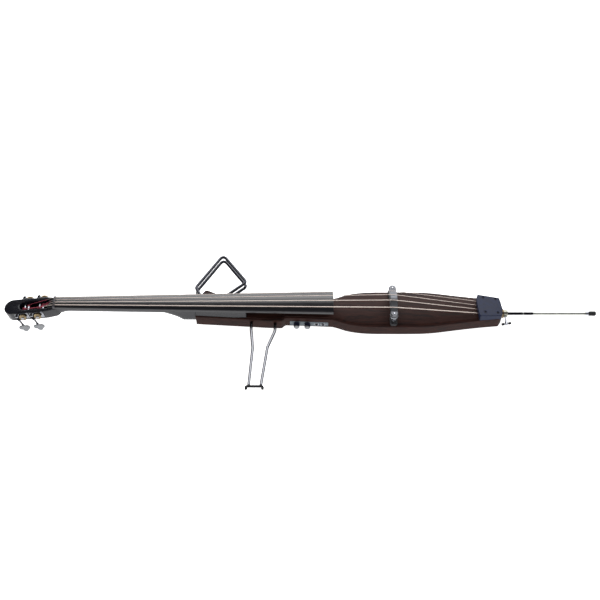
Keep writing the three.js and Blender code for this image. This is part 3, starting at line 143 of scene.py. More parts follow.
def skin(rings, caps=True, looped=False):
    """Quads between neighbouring rings of equal count, each ring closed. The ends are closed by fans to
    the ring's mean point, or the last ring joins the first where the surface is a loop both ways."""
    rings = np.asarray(rings, float)
    rows, cols = rings.shape[:2]
    row, col = np.meshgrid(np.arange(rows if looped else rows - 1), np.arange(cols), indexing="ij")
    after = (col + 1) % cols
    below = (row + 1) % rows
    quads = np.stack([row * cols + col, row * cols + after, below * cols + after, below * cols + col], -1)
    points = rings.reshape(-1, 3)
    faces = [quads.reshape(-1, 4)]
    if caps and not looped:
        middles = rings[[0, -1]].mean(1)
        points = np.concatenate([points, middles])
        k = np.arange(cols)
        first = np.stack([(k + 1) % cols, k, np.full(cols, rows * cols)], -1)
        start = (rows - 1) * cols
        last = np.stack([start + k, start + (k + 1) % cols, np.full(cols, rows * cols + 1)], -1)
        faces += [first, last]
    return outward(Mesh(points, faces))


def frame_about(axis):
    """Two unit vectors square to an axis and to each other."""
    axis = unit(axis)
    helper = np.array([0.0, 0.0, 1.0]) if abs(axis[2]) < 0.9 else np.array([1.0, 0.0, 0.0])
    first = unit(np.cross(axis, helper))
    return first, np.cross(axis, first)


def eased(profile, bevel, steps=3):
    """Profile whose corners are cut by short arcs: each corner is replaced by a quadratic curve between
    points a bevel's length before and after it, or less where the edges are short."""
    profile = np.asarray(profile, float)
    points = [profile[0]]
    for before, corner, after in zip(profile[:-2], profile[1:-1], profile[2:]):
        back, on = before - corner, after - corner
        near, far = np.linalg.norm(back), np.linalg.norm(on)
        size = min(bevel, 0.45 * near, 0.45 * far)
        start, end = corner + back / near * size, corner + on / far * size
        for t in np.linspace(0, 1, steps + 1):
            points.append((1 - t) ** 2 * start + 2 * t * (1 - t) * corner + t**2 * end)
    points.append(profile[-1])
    return np.array(points)


def turned(profile, axis, start, sides=48, bevel=0.4, looped=False):
    """Surface of revolution: a profile of (radius, distance) carried round an axis, the radius times cos
    and sin of the angle. It starts and ends on the axis, or is a loop of its own around a bore."""
    profile = np.asarray(profile, float)
    if looped:
        profile = np.concatenate([profile, profile[:2]])
    profile = eased(profile, bevel)[1:-1]
    first, second = frame_about(axis)
    angle = np.arange(sides) * TAU / sides
    circle = np.cos(angle)[:, None] * first + np.sin(angle)[:, None] * second
    rings = profile[:, 0, None, None] * circle + profile[:, 1, None, None] * unit(axis)
    return skin(rings + np.asarray(start, float), looped=looped)


def rod(start, end, radius, sides=40):
    """Plain cylinder between two points, for bores."""
    run = np.subtract(end, start)
    length = np.linalg.norm(run)
    return turned([[0, 0], [radius, 0], [radius, length], [0, length]], run, start, sides, SHARP)


def sweep(path, radius, sides=28, helper=(0, 0, 1)):
    """Round tube along a path: at each point a circle, the radius times cos and sin of the angle along
    two directions square to the path. The first is the path's direction cross the helper."""
    path = np.asarray(path, float)
    ahead = unit(np.gradient(path, axis=0))
    side = unit(np.cross(ahead, helper))
    over = np.cross(side, ahead)
    angle = np.arange(sides) * TAU / sides
    circle = np.cos(angle)[:, None] * side[:, None] + np.sin(angle)[:, None] * over[:, None]
    return skin(path[:, None] + radius * circle)


def rounded_path(corners, radius, steps=12):
    """Straight runs whose corners are rounded: a quadratic curve between points a tangent's length, the
    radius times tan of half the turn, before and after each corner. A corner that doesn't turn gives
    its point steps + 1 times over."""
    corners = np.asarray(corners, float)
    points = [corners[0]]
    for before, corner, after in zip(corners[:-2], corners[1:-1], corners[2:]):
        into, out = unit(corner - before), unit(after - corner)
        half = np.arccos(np.clip(into @ out, -1, 1)) / 2
        back = radius * np.tan(half)
        start, end = corner - back * into, corner + back * out
        for t in np.linspace(0, 1, steps + 1):
            points.append((1 - t) ** 2 * start + 2 * t * (1 - t) * corner + t**2 * end)
    points.append(corners[-1])
    return np.array(points)


def outline_normals(outline):
    """Unit vectors square to a closed outline, pointing out of it."""
    ahead = unit(np.roll(outline, -1, 0) - np.roll(outline, 1, 0))
    normal = np.stack([ahead[:, 1], -ahead[:, 0]], -1)
    area = np.sum(outline[:, 0] * np.roll(outline[:, 1], -1) - np.roll(outline[:, 0], -1) * outline[:, 1])
    return normal if area > 0 else -normal


def slab(outline, low, high, bevel=1.0, steps=5, bottom_bevel=None):
    """Closed outline raised from low to high, its two edges rounded: over a quarter turn at each end the
    outline lies inside its full size by bevel (1 - cos) and short of the end by bevel (1 - sin)."""
    outline = np.asarray(outline, float)
    normal = outline_normals(outline)
    bottom_bevel = bevel if bottom_bevel is None else bottom_bevel
    turn = np.linspace(0, np.pi / 2, steps + 1)
    drop = 1 - np.sin(turn)
    heights = np.sort(np.concatenate([low + bottom_bevel * drop, high - bevel * drop[::-1]]))
    insets = np.concatenate([bottom_bevel * (1 - np.cos(turn))[::-1], bevel * (1 - np.cos(turn))])
    rings = outline[None] - insets[:, None, None] * normal[None]
    z = np.broadcast_to(heights[:, None, None], rings.shape[:2] + (1,))
    return skin(np.concatenate([rings, z], -1))


def box_outline(width, height, radius, steps=8):
    """Rectangle about the origin with round corners."""
    angle = np.linspace(0, np.pi / 2, steps + 1)
    corners = []
    for k, (x, y) in enumerate([(1, 1), (-1, 1), (-1, -1), (1, -1)]):
        turn = angle + k * np.pi / 2
        middle = np.array([x * (width / 2 - radius), y * (height / 2 - radius)])
        corners.append(middle + radius * np.stack([np.cos(turn), np.sin(turn)], -1))
    return np.concatenate(corners)


# Axis triples that carry a slab's (outline a, outline b, height) to instrument axes
FACE_UP = np.eye(3)
FACE_FRONT = np.array([[1, 0, 0], [0, 0, -1], [0, 1, 0]], float)  # height runs along -y
FACE_ALONG = np.array([[0, 0, 1], [1, 0, 0], [0, 1, 0]], float)  # height runs along +x


def hermite(x, xs, ys):
    """Smooth curve through given points: cubic pieces whose slopes are the points' central differences."""
    xs, ys = np.asarray(xs, float), np.asarray(ys, float)
    slope = np.gradient(ys, xs)
    k = np.clip(np.searchsorted(xs, x) - 1, 0, len(xs) - 2)
    run = xs[k + 1] - xs[k]
    t = (x - xs[k]) / run
    return (
        (1 + 2 * t) * (1 - t) ** 2 * ys[k]
        + t * (1 - t) ** 2 * run * slope[k]
        + t**2 * (3 - 2 * t) * ys[k + 1]
        + t**2 * (t - 1) * run * slope[k + 1]
    )


def smoothstep(t):
    """3 t^2 - 2 t^3 between 0 and 1, level outside."""
    t = np.clip(t, 0, 1)
    return t * t * (3 - 2 * t)


def to_object(name, mesh, materials):
    """A mesh as a Blender object in shared metres, its faces' material numbers kept."""
    data = bpy.data.meshes.new(name)
    faces = [face for block in mesh.faces for face in block.tolist()]
    data.from_pydata(shared(mesh.points).tolist(), [], faces)
    for material in materials:
        data.materials.append(material)
    data.polygons.foreach_set("material_index", np.concatenate(mesh.slots).astype(np.int32))
    obj = bpy.data.objects.new(name, data)
    bpy.context.scene.collection.objects.link(obj)
    return obj


def cut(obj, meshes):
    """Takes closed meshes out of an object and leaves the result as its plain mesh."""
    tool = to_object("cutter", joined(meshes), [])
    modifier = obj.modifiers.new("cut", "BOOLEAN")
    modifier.operation = "DIFFERENCE"
    modifier.solver = "EXACT"
    modifier.use_self = True
    modifier.object = tool
    result = bpy.data.meshes.new_from_object(obj.evaluated_get(bpy.context.evaluated_depsgraph_get()))
    obj.modifiers.clear()
    obj.data = result
    bpy.data.objects.remove(tool)


def piece(name, meshes, body, materials, replaces=(), cutters=(), smooth=32):
    """One object of the visual model, smoothed below an angle and riding on a body of the frame."""
    obj = to_object(name, joined(meshes), materials)
    if cutters:
        cut(obj, cutters)
    obj.data.shade_smooth()
    obj.data.set_sharp_from_angle(angle=np.radians(smooth))
    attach(obj, body)
    if replaces:
        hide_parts(*replaces)
    return obj


# Materials


def linear(code):
    """sRGB hex colour to linear values: the standard curve on each of its three parts."""
    parts = np.array([int(code[k : k + 2], 16) for k in (1, 3, 5)]) / 255
    parts = np.where(parts <= 0.04045, parts / 12.92, ((parts + 0.055) / 1.055) ** 2.4)
    return (*parts, 1.0)


def grey(value):
    """One linear value as a colour, for ramps that lead to a plain input."""
    return (value, value, value, 1.0)


def add(tree, kind, links=None, stops=(), **settings):
    """Adds a node: sets its properties, its plain inputs (in_Name) and a ramp's (position, colour) stops,
    and links other nodes' outputs to its inputs."""
    node = tree.nodes.new(kind)
    for key, value in settings.items():
        if key.startswith("in_"):
            name = key[3:]
            socket = node.inputs[int(name)] if name.isdigit() else node.inputs[name.replace("_", " ")]
            socket.default_value = value
        else:
            setattr(node, key, value)
    for name, source in (links or {}).items():
        tree.links.new(source, node.inputs[name])
    if stops:
        elements = node.color_ramp.elements
        while len(elements) < len(stops):
            elements.new(0.5)
        for element, (position, colour) in zip(elements, stops):
            element.position = position
            element.color = colour
    return node


def new_material(name, **shader):
    """An empty material with one shader; returns its tree, its shader and a node of Object coordinates."""
    material = bpy.data.materials.new(name)
    material.use_nodes = True
    tree = material.node_tree
    tree.nodes.clear()
    bsdf = add(tree, "ShaderNodeBsdfPrincipled")
    for key, value in shader.items():
        bsdf.inputs[key.replace("_", " ")].default_value = value
    add(tree, "ShaderNodeOutputMaterial", links={"Surface": bsdf.outputs[0]})
    place = add(tree, "ShaderNodeTexCoord").outputs["Object"]
    return material, tree, bsdf, place


def dress(tree, bsdf, height, relief, depth, **ramps):
    """Leads patterns to the shader: each ramp is (source, stops) for the input it is named after, and
    the height becomes relief of a strength and a depth in metres."""
    for name, (source, stops) in ramps.items():
        node = add(tree, "ShaderNodeValToRGB", {"Fac": source}, stops)
        tree.links.new(node.outputs["Color"], bsdf.inputs[name.replace("_", " ")])
    bump = add(tree, "ShaderNodeBump", {"Height": height}, in_Strength=relief, in_Distance=depth)
    tree.links.new(bump.outputs[0], bsdf.inputs["Normal"])


def metal(name, colour, roughness, spread=0.06, scuff=400.0, brushed=(1, 1, 1), bump=0.05):
    """A metal finish: roughness varied by fine noise and, where brushed, by noise drawn out one way. The
    scuff is the noise's cells in a metre."""
    material, tree, bsdf, place = new_material(name, Metallic=1.0, Base_Color=linear(colour))
    mapped = add(tree, "ShaderNodeMapping", {"Vector": place}, in_Scale=brushed)
    noise = add(
        tree, "ShaderNodeTexNoise", {"Vector": mapped.outputs[0]}, in_Scale=scuff, in_Detail=4.0
    ).outputs["Fac"]
    smooth, rough = max(roughness - spread, 0.02), roughness + spread
    dress(tree, bsdf, noise, bump, 0.0003, Roughness=(noise, [(0.3, grey(smooth)), (0.7, grey(rough))]))
    return material


def moulded(name, colour, lighter, roughness, bump=0.15, coat=0.0, gloss=0.5):
    """Moulded plastic or rubber: a faint mottle about 11 mm wide in the colour and the roughness, and a
    spark texture of 0.7 mm as relief."""
    material, tree, bsdf, place = new_material(
        name, Specular_IOR_Level=gloss, Coat_Weight=coat, Coat_Roughness=0.08 if coat else 0.03
    )
    mottle, spark = [
        add(tree, "ShaderNodeTexNoise", {"Vector": place}, in_Scale=scale, in_Detail=detail).outputs["Fac"]
        for scale, detail in ((90.0, 5.0), (1500.0, 2.0))
    ]
    dress(
        tree, bsdf, spark, bump, 0.0002,
        Base_Color=(mottle, [(0.35, linear(colour)), (0.75, linear(lighter))]),
        Roughness=(mottle, [(0.3, grey(roughness - 0.06)), (0.7, grey(roughness + 0.06))]),
    )
    return material


def wood(name, dark, light, stripe, roughness, coat, coat_roughness, pores=0.12, gloss=0.5):
    """Lacquered wood with its grain along x: figure 140 mm long and 10 mm wide, fibres about 1 mm apart
    that darken it and lie in its relief, under a clear coat."""
    material, tree, bsdf, place = new_material(
        name, Coat_Weight=coat, Coat_Roughness=coat_roughness, Specular_IOR_Level=gloss
    )
    broad = add(tree, "ShaderNodeMapping", {"Vector": place}, in_Scale=(1.0, 14.0, 14.0)).outputs[0]
    figure = add(
        tree, "ShaderNodeTexNoise", {"Vector": broad},
        in_Scale=7.0, in_Detail=6.0, in_Roughness=0.62, in_Distortion=0.5,
    ).outputs["Fac"]
    figure_stops = [(0.28, linear(dark)), (0.5, linear(light)), (0.62, linear(dark)), (0.8, linear(stripe))]
    base = add(tree, "ShaderNodeValToRGB", {"Fac": figure}, figure_stops).outputs["Color"]
    narrow = add(tree, "ShaderNodeMapping", {"Vector": place}, in_Scale=(4.0, 150.0, 150.0)).outputs[0]
    fibre = add(tree, "ShaderNodeTexNoise", {"Vector": narrow}, in_Scale=6.0, in_Detail=5.0).outputs["Fac"]
    shade_stops = [(0.32, grey(0.42)), (0.62, grey(1.0))]
    shade = add(tree, "ShaderNodeValToRGB", {"Fac": fibre}, shade_stops).outputs["Color"]
    mixed = add(
        tree, "ShaderNodeMix", {6: base, 7: shade}, data_type="RGBA", blend_type="MULTIPLY", in_0=0.8
    )
    tree.links.new(mixed.outputs[2], bsdf.inputs["Base Color"])
    dress(
        tree, bsdf, fibre, pores, 0.0004,
        Roughness=(fibre, [(0.3, grey(roughness + 0.1)), (0.7, grey(roughness))]),
    )
    return material


# Stained maple body under satin lacquer: red-brown figure seen through a soft gloss
stained_maple = wood("stained_maple", "#1a0907", "#341811", "#472219", 0.5, 0.0, 0.2, gloss=0.14)
# Maple neck painted satin black: nearly no figure, a wide soft reflection
black_lacquer = wood(
    "black_lacquer", "#070812", "#0a0b17", "#0f101d", 0.22, 0.15, 0.1, pores=0.03, gloss=0.35
)
# Ebony fingerboard: dense and dark, fine open pores along the grain, oiled to a low sheen
oiled_ebony = wood("oiled_ebony", "#06050f", "#0a0913", "#100e16", 0.3, 0.3, 0.22, pores=0.05)
# Polished chrome plate on the machines, posts, wheels, jacks, ferrule and small screws
chrome = metal("chrome_plate", "#94969c", 0.14, spread=0.05)
# Chrome on the rods of the shoulder bow and on the worms, its colour darkened as painted shade for the dark
# reflections they show
dark_chrome = metal("dark_chrome", "#36373c", 0.16, spread=0.05)
# Bent steel rods of the chest rest: bare and polished, a bright line between dark edges
bent_steel = metal("bent_steel", "#6f7074", 0.14, spread=0.05)
# Satin nickel on the die-cast tuning keys and the knobs' crowns: even, soft grey
satin_nickel = metal("satin_nickel", "#898b8e", 0.48, spread=0.06, scuff=900.0, bump=0.12)
# Turned brass of the gears and the endpin's flange, lightly tarnished
turned_brass = metal("turned_brass", "#82735a", 0.3, spread=0.1, scuff=600.0)
# Blackened steel of the endpin rod's first steps
black_steel = metal("blackened_steel", "#141418", 0.22, spread=0.08)
# Turned steel of the endpin rod and the shafts, its fine scratches running round
turned_steel = metal("turned_steel", "#9c9d98", 0.26, spread=0.08, brushed=(60, 1, 1), scuff=60.0)
# Cast bridge bar with a dark satin finish
cast_bar = metal("cast_bridge_bar", "#646569", 0.5, spread=0.06, scuff=700.0, bump=0.2)
# Moulded tailpiece cover, near black with an eggshell sheen; its slate-blue tint is a painted reflection of
# the sky
slate_cover = moulded("slate_cover", "#1a2036", "#222a44", 0.5, gloss=0.2)
# Control plate moulded in blue-grey
grey_plate = moulded("grey_plate", "#48535b", "#5a666e", 0.38)
# Black moulded jack cases
black_case = moulded("black_case", "#14161f", "#1c1f2a", 0.45)
# Knobs in semi-gloss navy
navy_knob = moulded("navy_knob", "#1b2036", "#252b45", 0.3, coat=0.3)
# Satin chrome on the endpin's collar
satin_collar = metal("satin_chrome", "#8c8c82", 0.32, spread=0.08)
# Black oxide on the tailpiece's screws
black_screw = metal("black_oxide_screw", "#2a2a30", 0.4, spread=0.08)
# Rubber of feet, tips and grips
black_rubber = moulded("black_rubber", "#0b0b10", "#15151b", 0.75, bump=0.3)
# Nut moulded in dark resin
dark_resin = moulded("dark_resin", "#353338", "#413f44", 0.4)
# Green solder mask of the circuit board
solder_mask = moulded("solder_mask", "#1f4a35", "#275840", 0.4)
# Battery jacket
battery_jacket = moulded("battery_jacket", "#15171d", "#1d1f27", 0.35)


def wound_wire(name, colour, shadow, roughness, pitch, metallic, depth=0.25):
    """Flat-wound string or silk: ridges square to the string, a pitch apart in millimetres that is drawn
    coarse enough to show, from the sine of the distance along it that the mesh carries."""
    material, tree, bsdf, place = new_material(name, Metallic=metallic, Roughness=roughness)
    run = add(tree, "ShaderNodeAttribute", attribute_name="run", attribute_type="GEOMETRY").outputs["Fac"]
    phase = add(tree, "ShaderNodeMath", {0: run}, operation="MULTIPLY", in_1=TAU / pitch).outputs[0]
    wave = add(tree, "ShaderNodeMath", {0: phase}, operation="SINE").outputs[0]
    ridge = add(tree, "ShaderNodeMath", {0: wave}, operation="MULTIPLY_ADD", in_1=0.5, in_2=0.5).outputs[0]
    tree.nodes.remove(place.node)
    dress(
        tree, bsdf, ridge, depth, 0.0002, Base_Color=(ridge, [(0.0, linear(shadow)), (0.6, linear(colour))])
    )
    return material


# Flat-wound steel and the red silk wrapped round the strings' head ends
flat_wound = wound_wire("flat_wound_steel", "#cfc2ba", "#a3978f", 0.3, 1.2, 1.0)
red_silk = wound_wire("red_silk", "#b04a5c", "#7c2836", 0.7, 0.8, 0.0, depth=0.5)

# Body: arched slab of stained maple. Each stretch of its outline is given by shares of the stretch's
# length and of the body's full half width.

UPPER = [[0, 0.44], [0.3, 0.515], [0.6, 0.59], [0.95, 0.672], [1, 0.675]]
CONTROL = [[0, 0.517], [0.3, 0.535], [0.7, 0.575], [1, 0.604]]
BOUT = [
    [0, 0.604], [0.03, 0.675], [0.08, 0.82], [0.14, 0.925], [0.19, 0.973], [0.25, 0.995], [0.33, 1],
    [0.46, 1], [0.55, 0.985], [0.62, 0.94], [0.68, 0.875], [0.75, 0.795], [0.84, 0.7], [0.92, 0.627],
    [1, 0.568],
]
WAIST_X, WAIST_RUN, FLARE_X, CONTROL_X = -353.0, 16.0, -190.0, -326.0


def body_half(x):
    """Half width of the body along x: three stretches of shares of the full half width, a slanted step
    at the waist and a tail whose corners are quarter rounds and whose end is bowed."""
    x = np.asarray(x, float)
    tail_start = BODY_TAIL_X - TAIL_CORNER

    def stretch(shares, low, high):
        """Half width along one stretch: the smooth curve through its shares of length and width."""
        shares = np.array(shares)
        return hermite(x, low + shares[:, 0] * (high - low), shares[:, 1] * FULL_HALF)

    upper = stretch(UPPER, BODY_FRONT_X, WAIST_X)
    control = stretch(CONTROL, CONTROL_X, FLARE_X)
    bout = stretch(BOUT, FLARE_X, tail_start)
    step = smoothstep((x - WAIST_X) / WAIST_RUN)
    upper_end, control_start = UPPER[-1][1] * FULL_HALF, CONTROL[0][1] * FULL_HALF
    waist = upper_end + (control_start - upper_end) * step
    half = np.where(x < WAIST_X, upper, np.where(x < WAIST_X + WAIST_RUN, waist, control))
    half = np.where(x < FLARE_X, half, bout)
    tail_half = BOUT[-1][1] * FULL_HALF
    into = np.clip((x - tail_start) / TAIL_CORNER, 0, 1)
    corner = tail_half - TAIL_CORNER * (1 - np.sqrt(1 - into**2 * 0.999))
    end = (tail_half - TAIL_CORNER) * (1 - 0.75 * np.clip((x - BODY_TAIL_X) / TAIL_BULGE, 0, 1) ** 2)
    return np.where(x < tail_start, half, np.where(x < BODY_TAIL_X, corner, end))


def crown_z(y, half):
    """Height of the body's top: the edge's, plus the crown's share of the width times 1 - (y / half)^2."""
    return EDGE_Z + CROWN * half / FULL_HALF * (1 - (y / half) ** 2)


def body_rings(x, half):
    """Sections of the body: flat back, 3 mm round to upright sides, 5 mm round to the crowned top."""
    back_round, edge_round = 3.0, 5.0
    x, half = x[:, None], half[:, None]
    turn = np.linspace(0, np.pi / 2, 9)[None]
    side_y = [half - back_round * (1 - np.sin(turn)), half - edge_round * (1 - np.cos(turn))]
    side_z = [BACK_Z + back_round * (1 - np.cos(turn)), EDGE_Z - edge_round * (1 - np.sin(turn))]
    s = np.linspace(1, -1, 49)[None, 1:-1]
    top_y = s * (half - edge_round)
    top_z = crown_z(top_y, half)
    right_y, right_z = np.concatenate(side_y, 1), np.concatenate([z + 0 * half for z in side_z], 1)
    y = np.concatenate([right_y, top_y, -right_y[:, ::-1]], 1)
    z = np.concatenate([right_z, top_z, right_z[:, ::-1]], 1)
    return np.stack([x + 0 * y, y, z], -1)


body_xs = np.concatenate(
    [
        np.linspace(BODY_FRONT_X, WAIST_X, 60)[:-1],
        np.linspace(WAIST_X, WAIST_X + WAIST_RUN, 10)[:-1],
        np.linspace(WAIST_X + WAIST_RUN, FLARE_X, 30)[:-1],
        np.linspace(FLARE_X, BODY_TAIL_X - TAIL_CORNER, 150)[:-1],
        np.linspace(BODY_TAIL_X - TAIL_CORNER, BODY_TAIL_X, 10)[:-1],
        np.linspace(BODY_TAIL_X, BODY_TAIL_X + TAIL_BULGE, 12),
    ]
)
body_shell = skin(body_rings(body_xs, body_half(body_xs)))

# Shoulder horn on the far side, its peak at 76.5 mm; the points are shares of its run and its reach
HORN_PEAK_X, HORN_REACH, HORN_RUN = -594.0, 76.5, 62.0
HORN = [[-0.2, 0.83], [-0.05, 0.98], [0.05, 0.99], [0.52, 0.81], [1, 0.55]]
HORN_START_X, HORN_END_X, HORN_ROOT_Y = BODY_FRONT_X + 4, HORN_PEAK_X + 1.3 * HORN_RUN, 10.0
horn_points = [
    [HORN_START_X, HORN_ROOT_Y],
    [HORN_START_X, 0.55 * HORN_REACH],
    *[[HORN_PEAK_X + along * HORN_RUN, out * HORN_REACH] for along, out in HORN],
    [HORN_END_X, float(body_half(HORN_END_X)) - 4],
    [HORN_END_X, HORN_ROOT_Y],
]
horn_outline = eased(np.array(horn_points + horn_points[:1]), 6.0, 6)[:-1]
horn = slab(horn_outline, BACK_Z, EDGE_Z, bevel=3.0)

# Bores of the chest rest's rods and the endpin, and the controls' recess and cavity
REST_XS, REST_Z, REST_RADIUS, REST_DEEP = [-446.0, -371.0], 12.0, 4.7, 74.0
PANEL_X, PANEL_Z, PANEL_LONG, PANEL_HIGH = -264.0, -2.5, 122.0, 21.0
PIN_RADIUS, PIN_BORE_START, PIN_SEAT_START, PIN_SEAT_RADIUS = 4.8, 60.0, 279.5, 12.3
BEYOND_TAIL = BODY_TAIL_X + 20
panel_near = float(body_half(PANEL_X))
panel_slope = np.arctan2((CONTROL[-1][1] - CONTROL[0][1]) * FULL_HALF, FLARE_X - CONTROL_X)
panel_turn = np.array(
    [
        [np.cos(panel_slope), np.sin(panel_slope), 0],
        [-np.sin(panel_slope), np.cos(panel_slope), 0],
        [0, 0, 1],
    ]
)


def on_panel(mesh):
    """Moves a mesh from the controls' frame, y = 0 on the side face and +y inwards, to the instrument's."""
    return mesh.moved(panel_turn, (PANEL_X, -panel_near, PANEL_Z))


body_cutters = []
for x in REST_XS:
    side_y = -float(body_half(x))
    body_cutters.append(rod([x, side_y - 8, REST_Z], [x, side_y + REST_DEEP, REST_Z], REST_RADIUS + FIT))
body_cutters.append(rod([PIN_BORE_START, 0, 0], [BEYOND_TAIL, 0, 0], PIN_RADIUS + 1.2))
body_cutters.append(rod([PIN_SEAT_START, 0, 0], [BEYOND_TAIL, 0, 0], PIN_SEAT_RADIUS))
recess = slab(box_outline(PANEL_LONG + 2 * FIT, PANEL_HIGH + 2 * FIT, 3.0), -1.8, 6, SHARP)
cavity = slab(box_outline(112, 18.4, 3.0), -46, 5, SHARP)
body_cutters += [on_panel(recess.moved(FACE_FRONT)), on_panel(cavity.moved(FACE_FRONT))]
piece("body_shell", [body_shell], "bass", [stained_maple], ["body"], body_cutters)
piece("shoulder_horn", [horn], "bass", [stained_maple])

# Neck: a D section that turns into the heel, with the tongue over the body and the slotted head

NECK_DEPTH, HEEL_DEPTH, HEEL_START_X, HEEL_CORNER_X = 26.0, 54.0, -718.0, -661.0
NECK_TOP_Z = BOARD_Z - FIT / 2
HEAD_TURN = np.radians(7.5)
HEAD_MATRIX = np.array(
    [
        [np.cos(HEAD_TURN), 0, -np.sin(HEAD_TURN)],
        [0, 1, 0],
        [np.sin(HEAD_TURN), 0, np.cos(HEAD_TURN)],
    ]
)
HEAD_PLACE = np.array([NUT_X, 0.0, 37.0])


def board_half(x):
    """Half width of the fingerboard: straight from the nut's to the free end's."""
    return BOARD_NUT_HALF + (BOARD_END_HALF - BOARD_NUT_HALF) * (x - NUT_X) / (BOARD_END_X - NUT_X)


def loft_along(xs, sections, end_round=0.0, steps=5):
    """Skin through sections of (y, z) at places along x. The last section may be rounded by r: it moves
    back by r and then shrinks along its normals by r (1 - cos) while x grows by r sin."""
    places = np.broadcast_to(xs[:, None, None], sections.shape[:2] + (1,))
    rings = np.concatenate([places, sections], -1)
    if end_round:
        rings[-1, :, 0] -= end_round
        turn = np.linspace(0, np.pi / 2, steps + 1)[1:, None]
        extra = np.repeat(rings[-1:], steps, 0)
        extra[..., 0] += end_round * np.sin(turn)
        extra[..., 1:] -= (end_round * (1 - np.cos(turn)))[..., None] * outline_normals(sections[-1])
        rings = np.concatenate([rings, extra])
    return skin(rings)


def in_head(mesh):
    """Moves a mesh from the head's frame, tipped back 7.5 degrees at the nut, to the instrument's."""
    return mesh.moved(HEAD_MATRIX, HEAD_PLACE)


def neck_sections(x):
    """Half superellipse |y / half|^p + |z / depth|^p = 1 below a flat top, whose power p and depth grow
    over the heel; its corners to the top are eased by 1.5 mm."""
    run = np.clip((x - HEEL_START_X) / (HEEL_CORNER_X - HEEL_START_X), 0, 1)
    root = np.clip((x - HEEL_CORNER_X) / (BODY_FRONT_X - FIT - HEEL_CORNER_X), 0, 1)
    throat = np.clip((NUT_X + 42 - x) / 36, 0, 1) ** 2
    depth = NECK_DEPTH + (HEEL_DEPTH - NECK_DEPTH) * run**2 + 9 * throat
    power = 2.2 + 4.8 * run + root + 2.0 * throat
    corner_half = board_half(HEEL_CORNER_X) + (body_half(BODY_FRONT_X) - board_half(HEEL_CORNER_X)) * root
    half = np.where(x < HEEL_CORNER_X, board_half(x), corner_half) - 0.6
    angle = np.linspace(0, np.pi, 61)[None]
    half, depth, power = half[:, None], depth[:, None], power[:, None]
    y = -half * np.sign(np.cos(angle)) * np.abs(np.cos(angle)) ** (2 / power)
    z = NECK_TOP_Z - depth * np.abs(np.sin(angle)) ** (2 / power)
    top = np.linspace(1, -1, 15)[None, 1:-1] * half
    return np.stack([np.concatenate([y, top], 1), np.concatenate([z, NECK_TOP_Z + 0 * top], 1)], -1)


neck_xs = np.concatenate(
    [
        np.linspace(NUT_X - 14, HEEL_START_X, 40)[:-1],
        np.linspace(HEEL_START_X, HEEL_CORNER_X, 40)[:-1],
        np.linspace(HEEL_CORNER_X, BODY_FRONT_X - FIT, 16),
    ]
)
neck_shaft = loft_along(neck_xs, neck_sections(neck_xs))


def tongue_sections(x):
    """Box whose underside follows the body's crown and whose top carries the fingerboard."""
    wide = body_half(x)
    half = np.minimum(wide - 3.5, board_half(x) - 0.6)[:, None]
    s = np.linspace(-1, 1, 25)[None]
    low = crown_z(s * half, wide[:, None]) + 0.05
    y = np.concatenate([s * half, (s * half)[:, ::-1]], 1)
    z = np.concatenate([low, NECK_TOP_Z + 0 * low], 1)
    return np.stack([y, z], -1)


tongue_xs = np.linspace(BODY_FRONT_X - 1, NECK_END_X, 50)
neck_tongue = loft_along(tongue_xs, tongue_sections(tongue_xs), end_round=2.0)

# Head block with its slot, in the head's own frame: x = 0 at the nut and growing to the body. Each
# machine has its place along the head and its side.
HEAD_LONG, HEAD_HALF, HEAD_THICK = 168.0, 28.0, 38.0
SLOT_HALF, SLOT_NEAR, SLOT_FAR, SLOT_FLOOR = 16.0, 22.0, 118.0, -13.0
ROLLER_Z, ROLLER_RADIUS, FAR_CHEEK = 4.5, 4.4, 7.0
MACHINES = [("E", -104.5, -1), ("G", -92.5, 1), ("A", -56.5, -1), ("D", -44.5, 1)]
far_arc = np.linspace(np.pi / 2, 1.5 * np.pi, 49)
head_outline = np.concatenate(
    [
        eased(np.array([[28, -19], [28, 19], [0, 22.5], [-26, 28], [-60, 28]], float), 12, 8)[1:],
        HEAD_HALF * np.stack([np.cos(far_arc), np.sin(far_arc)], -1) - [HEAD_LONG - HEAD_HALF, 0],
        eased(np.array([[-60, -28], [-26, -28], [0, -22.5], [28, -19]], float), 12, 8)[:-1],
    ]
)
head_block = slab(head_outline, -HEAD_THICK / 2, HEAD_THICK / 2, bevel=3.0, steps=6)
share = np.linspace(0, 1, 25)
under = np.stack([-6 + 34 * share, -19 + 9.5 * (1 - np.cos(np.pi * share))], -1)
volute_outline = np.concatenate([[[34, -24], [34, 1]], [[28, 0]], under[::-1], [[-6, -24]]])
volute = slab(volute_outline, -34, 34, SHARP).moved(FACE_FRONT)
near_corner = np.linspace(0, np.pi / 2, 9)
slot_outline = np.concatenate(
    [
        5 * np.stack([np.cos(near_corner), np.sin(near_corner)], -1) + [-SLOT_NEAR - 5, SLOT_HALF - 5],
        SLOT_HALF * np.stack([np.cos(far_arc), np.sin(far_arc)], -1) - [SLOT_FAR - SLOT_HALF, 0],
        5 * np.stack([np.cos(near_corner), -np.sin(near_corner)], -1)[::-1] + [-SLOT_NEAR - 5, 5 - SLOT_HALF],
    ]
)
slot_outline = slot_outline[np.r_[True, np.linalg.norm(np.diff(slot_outline, axis=0), axis=1) > 1e-6]]
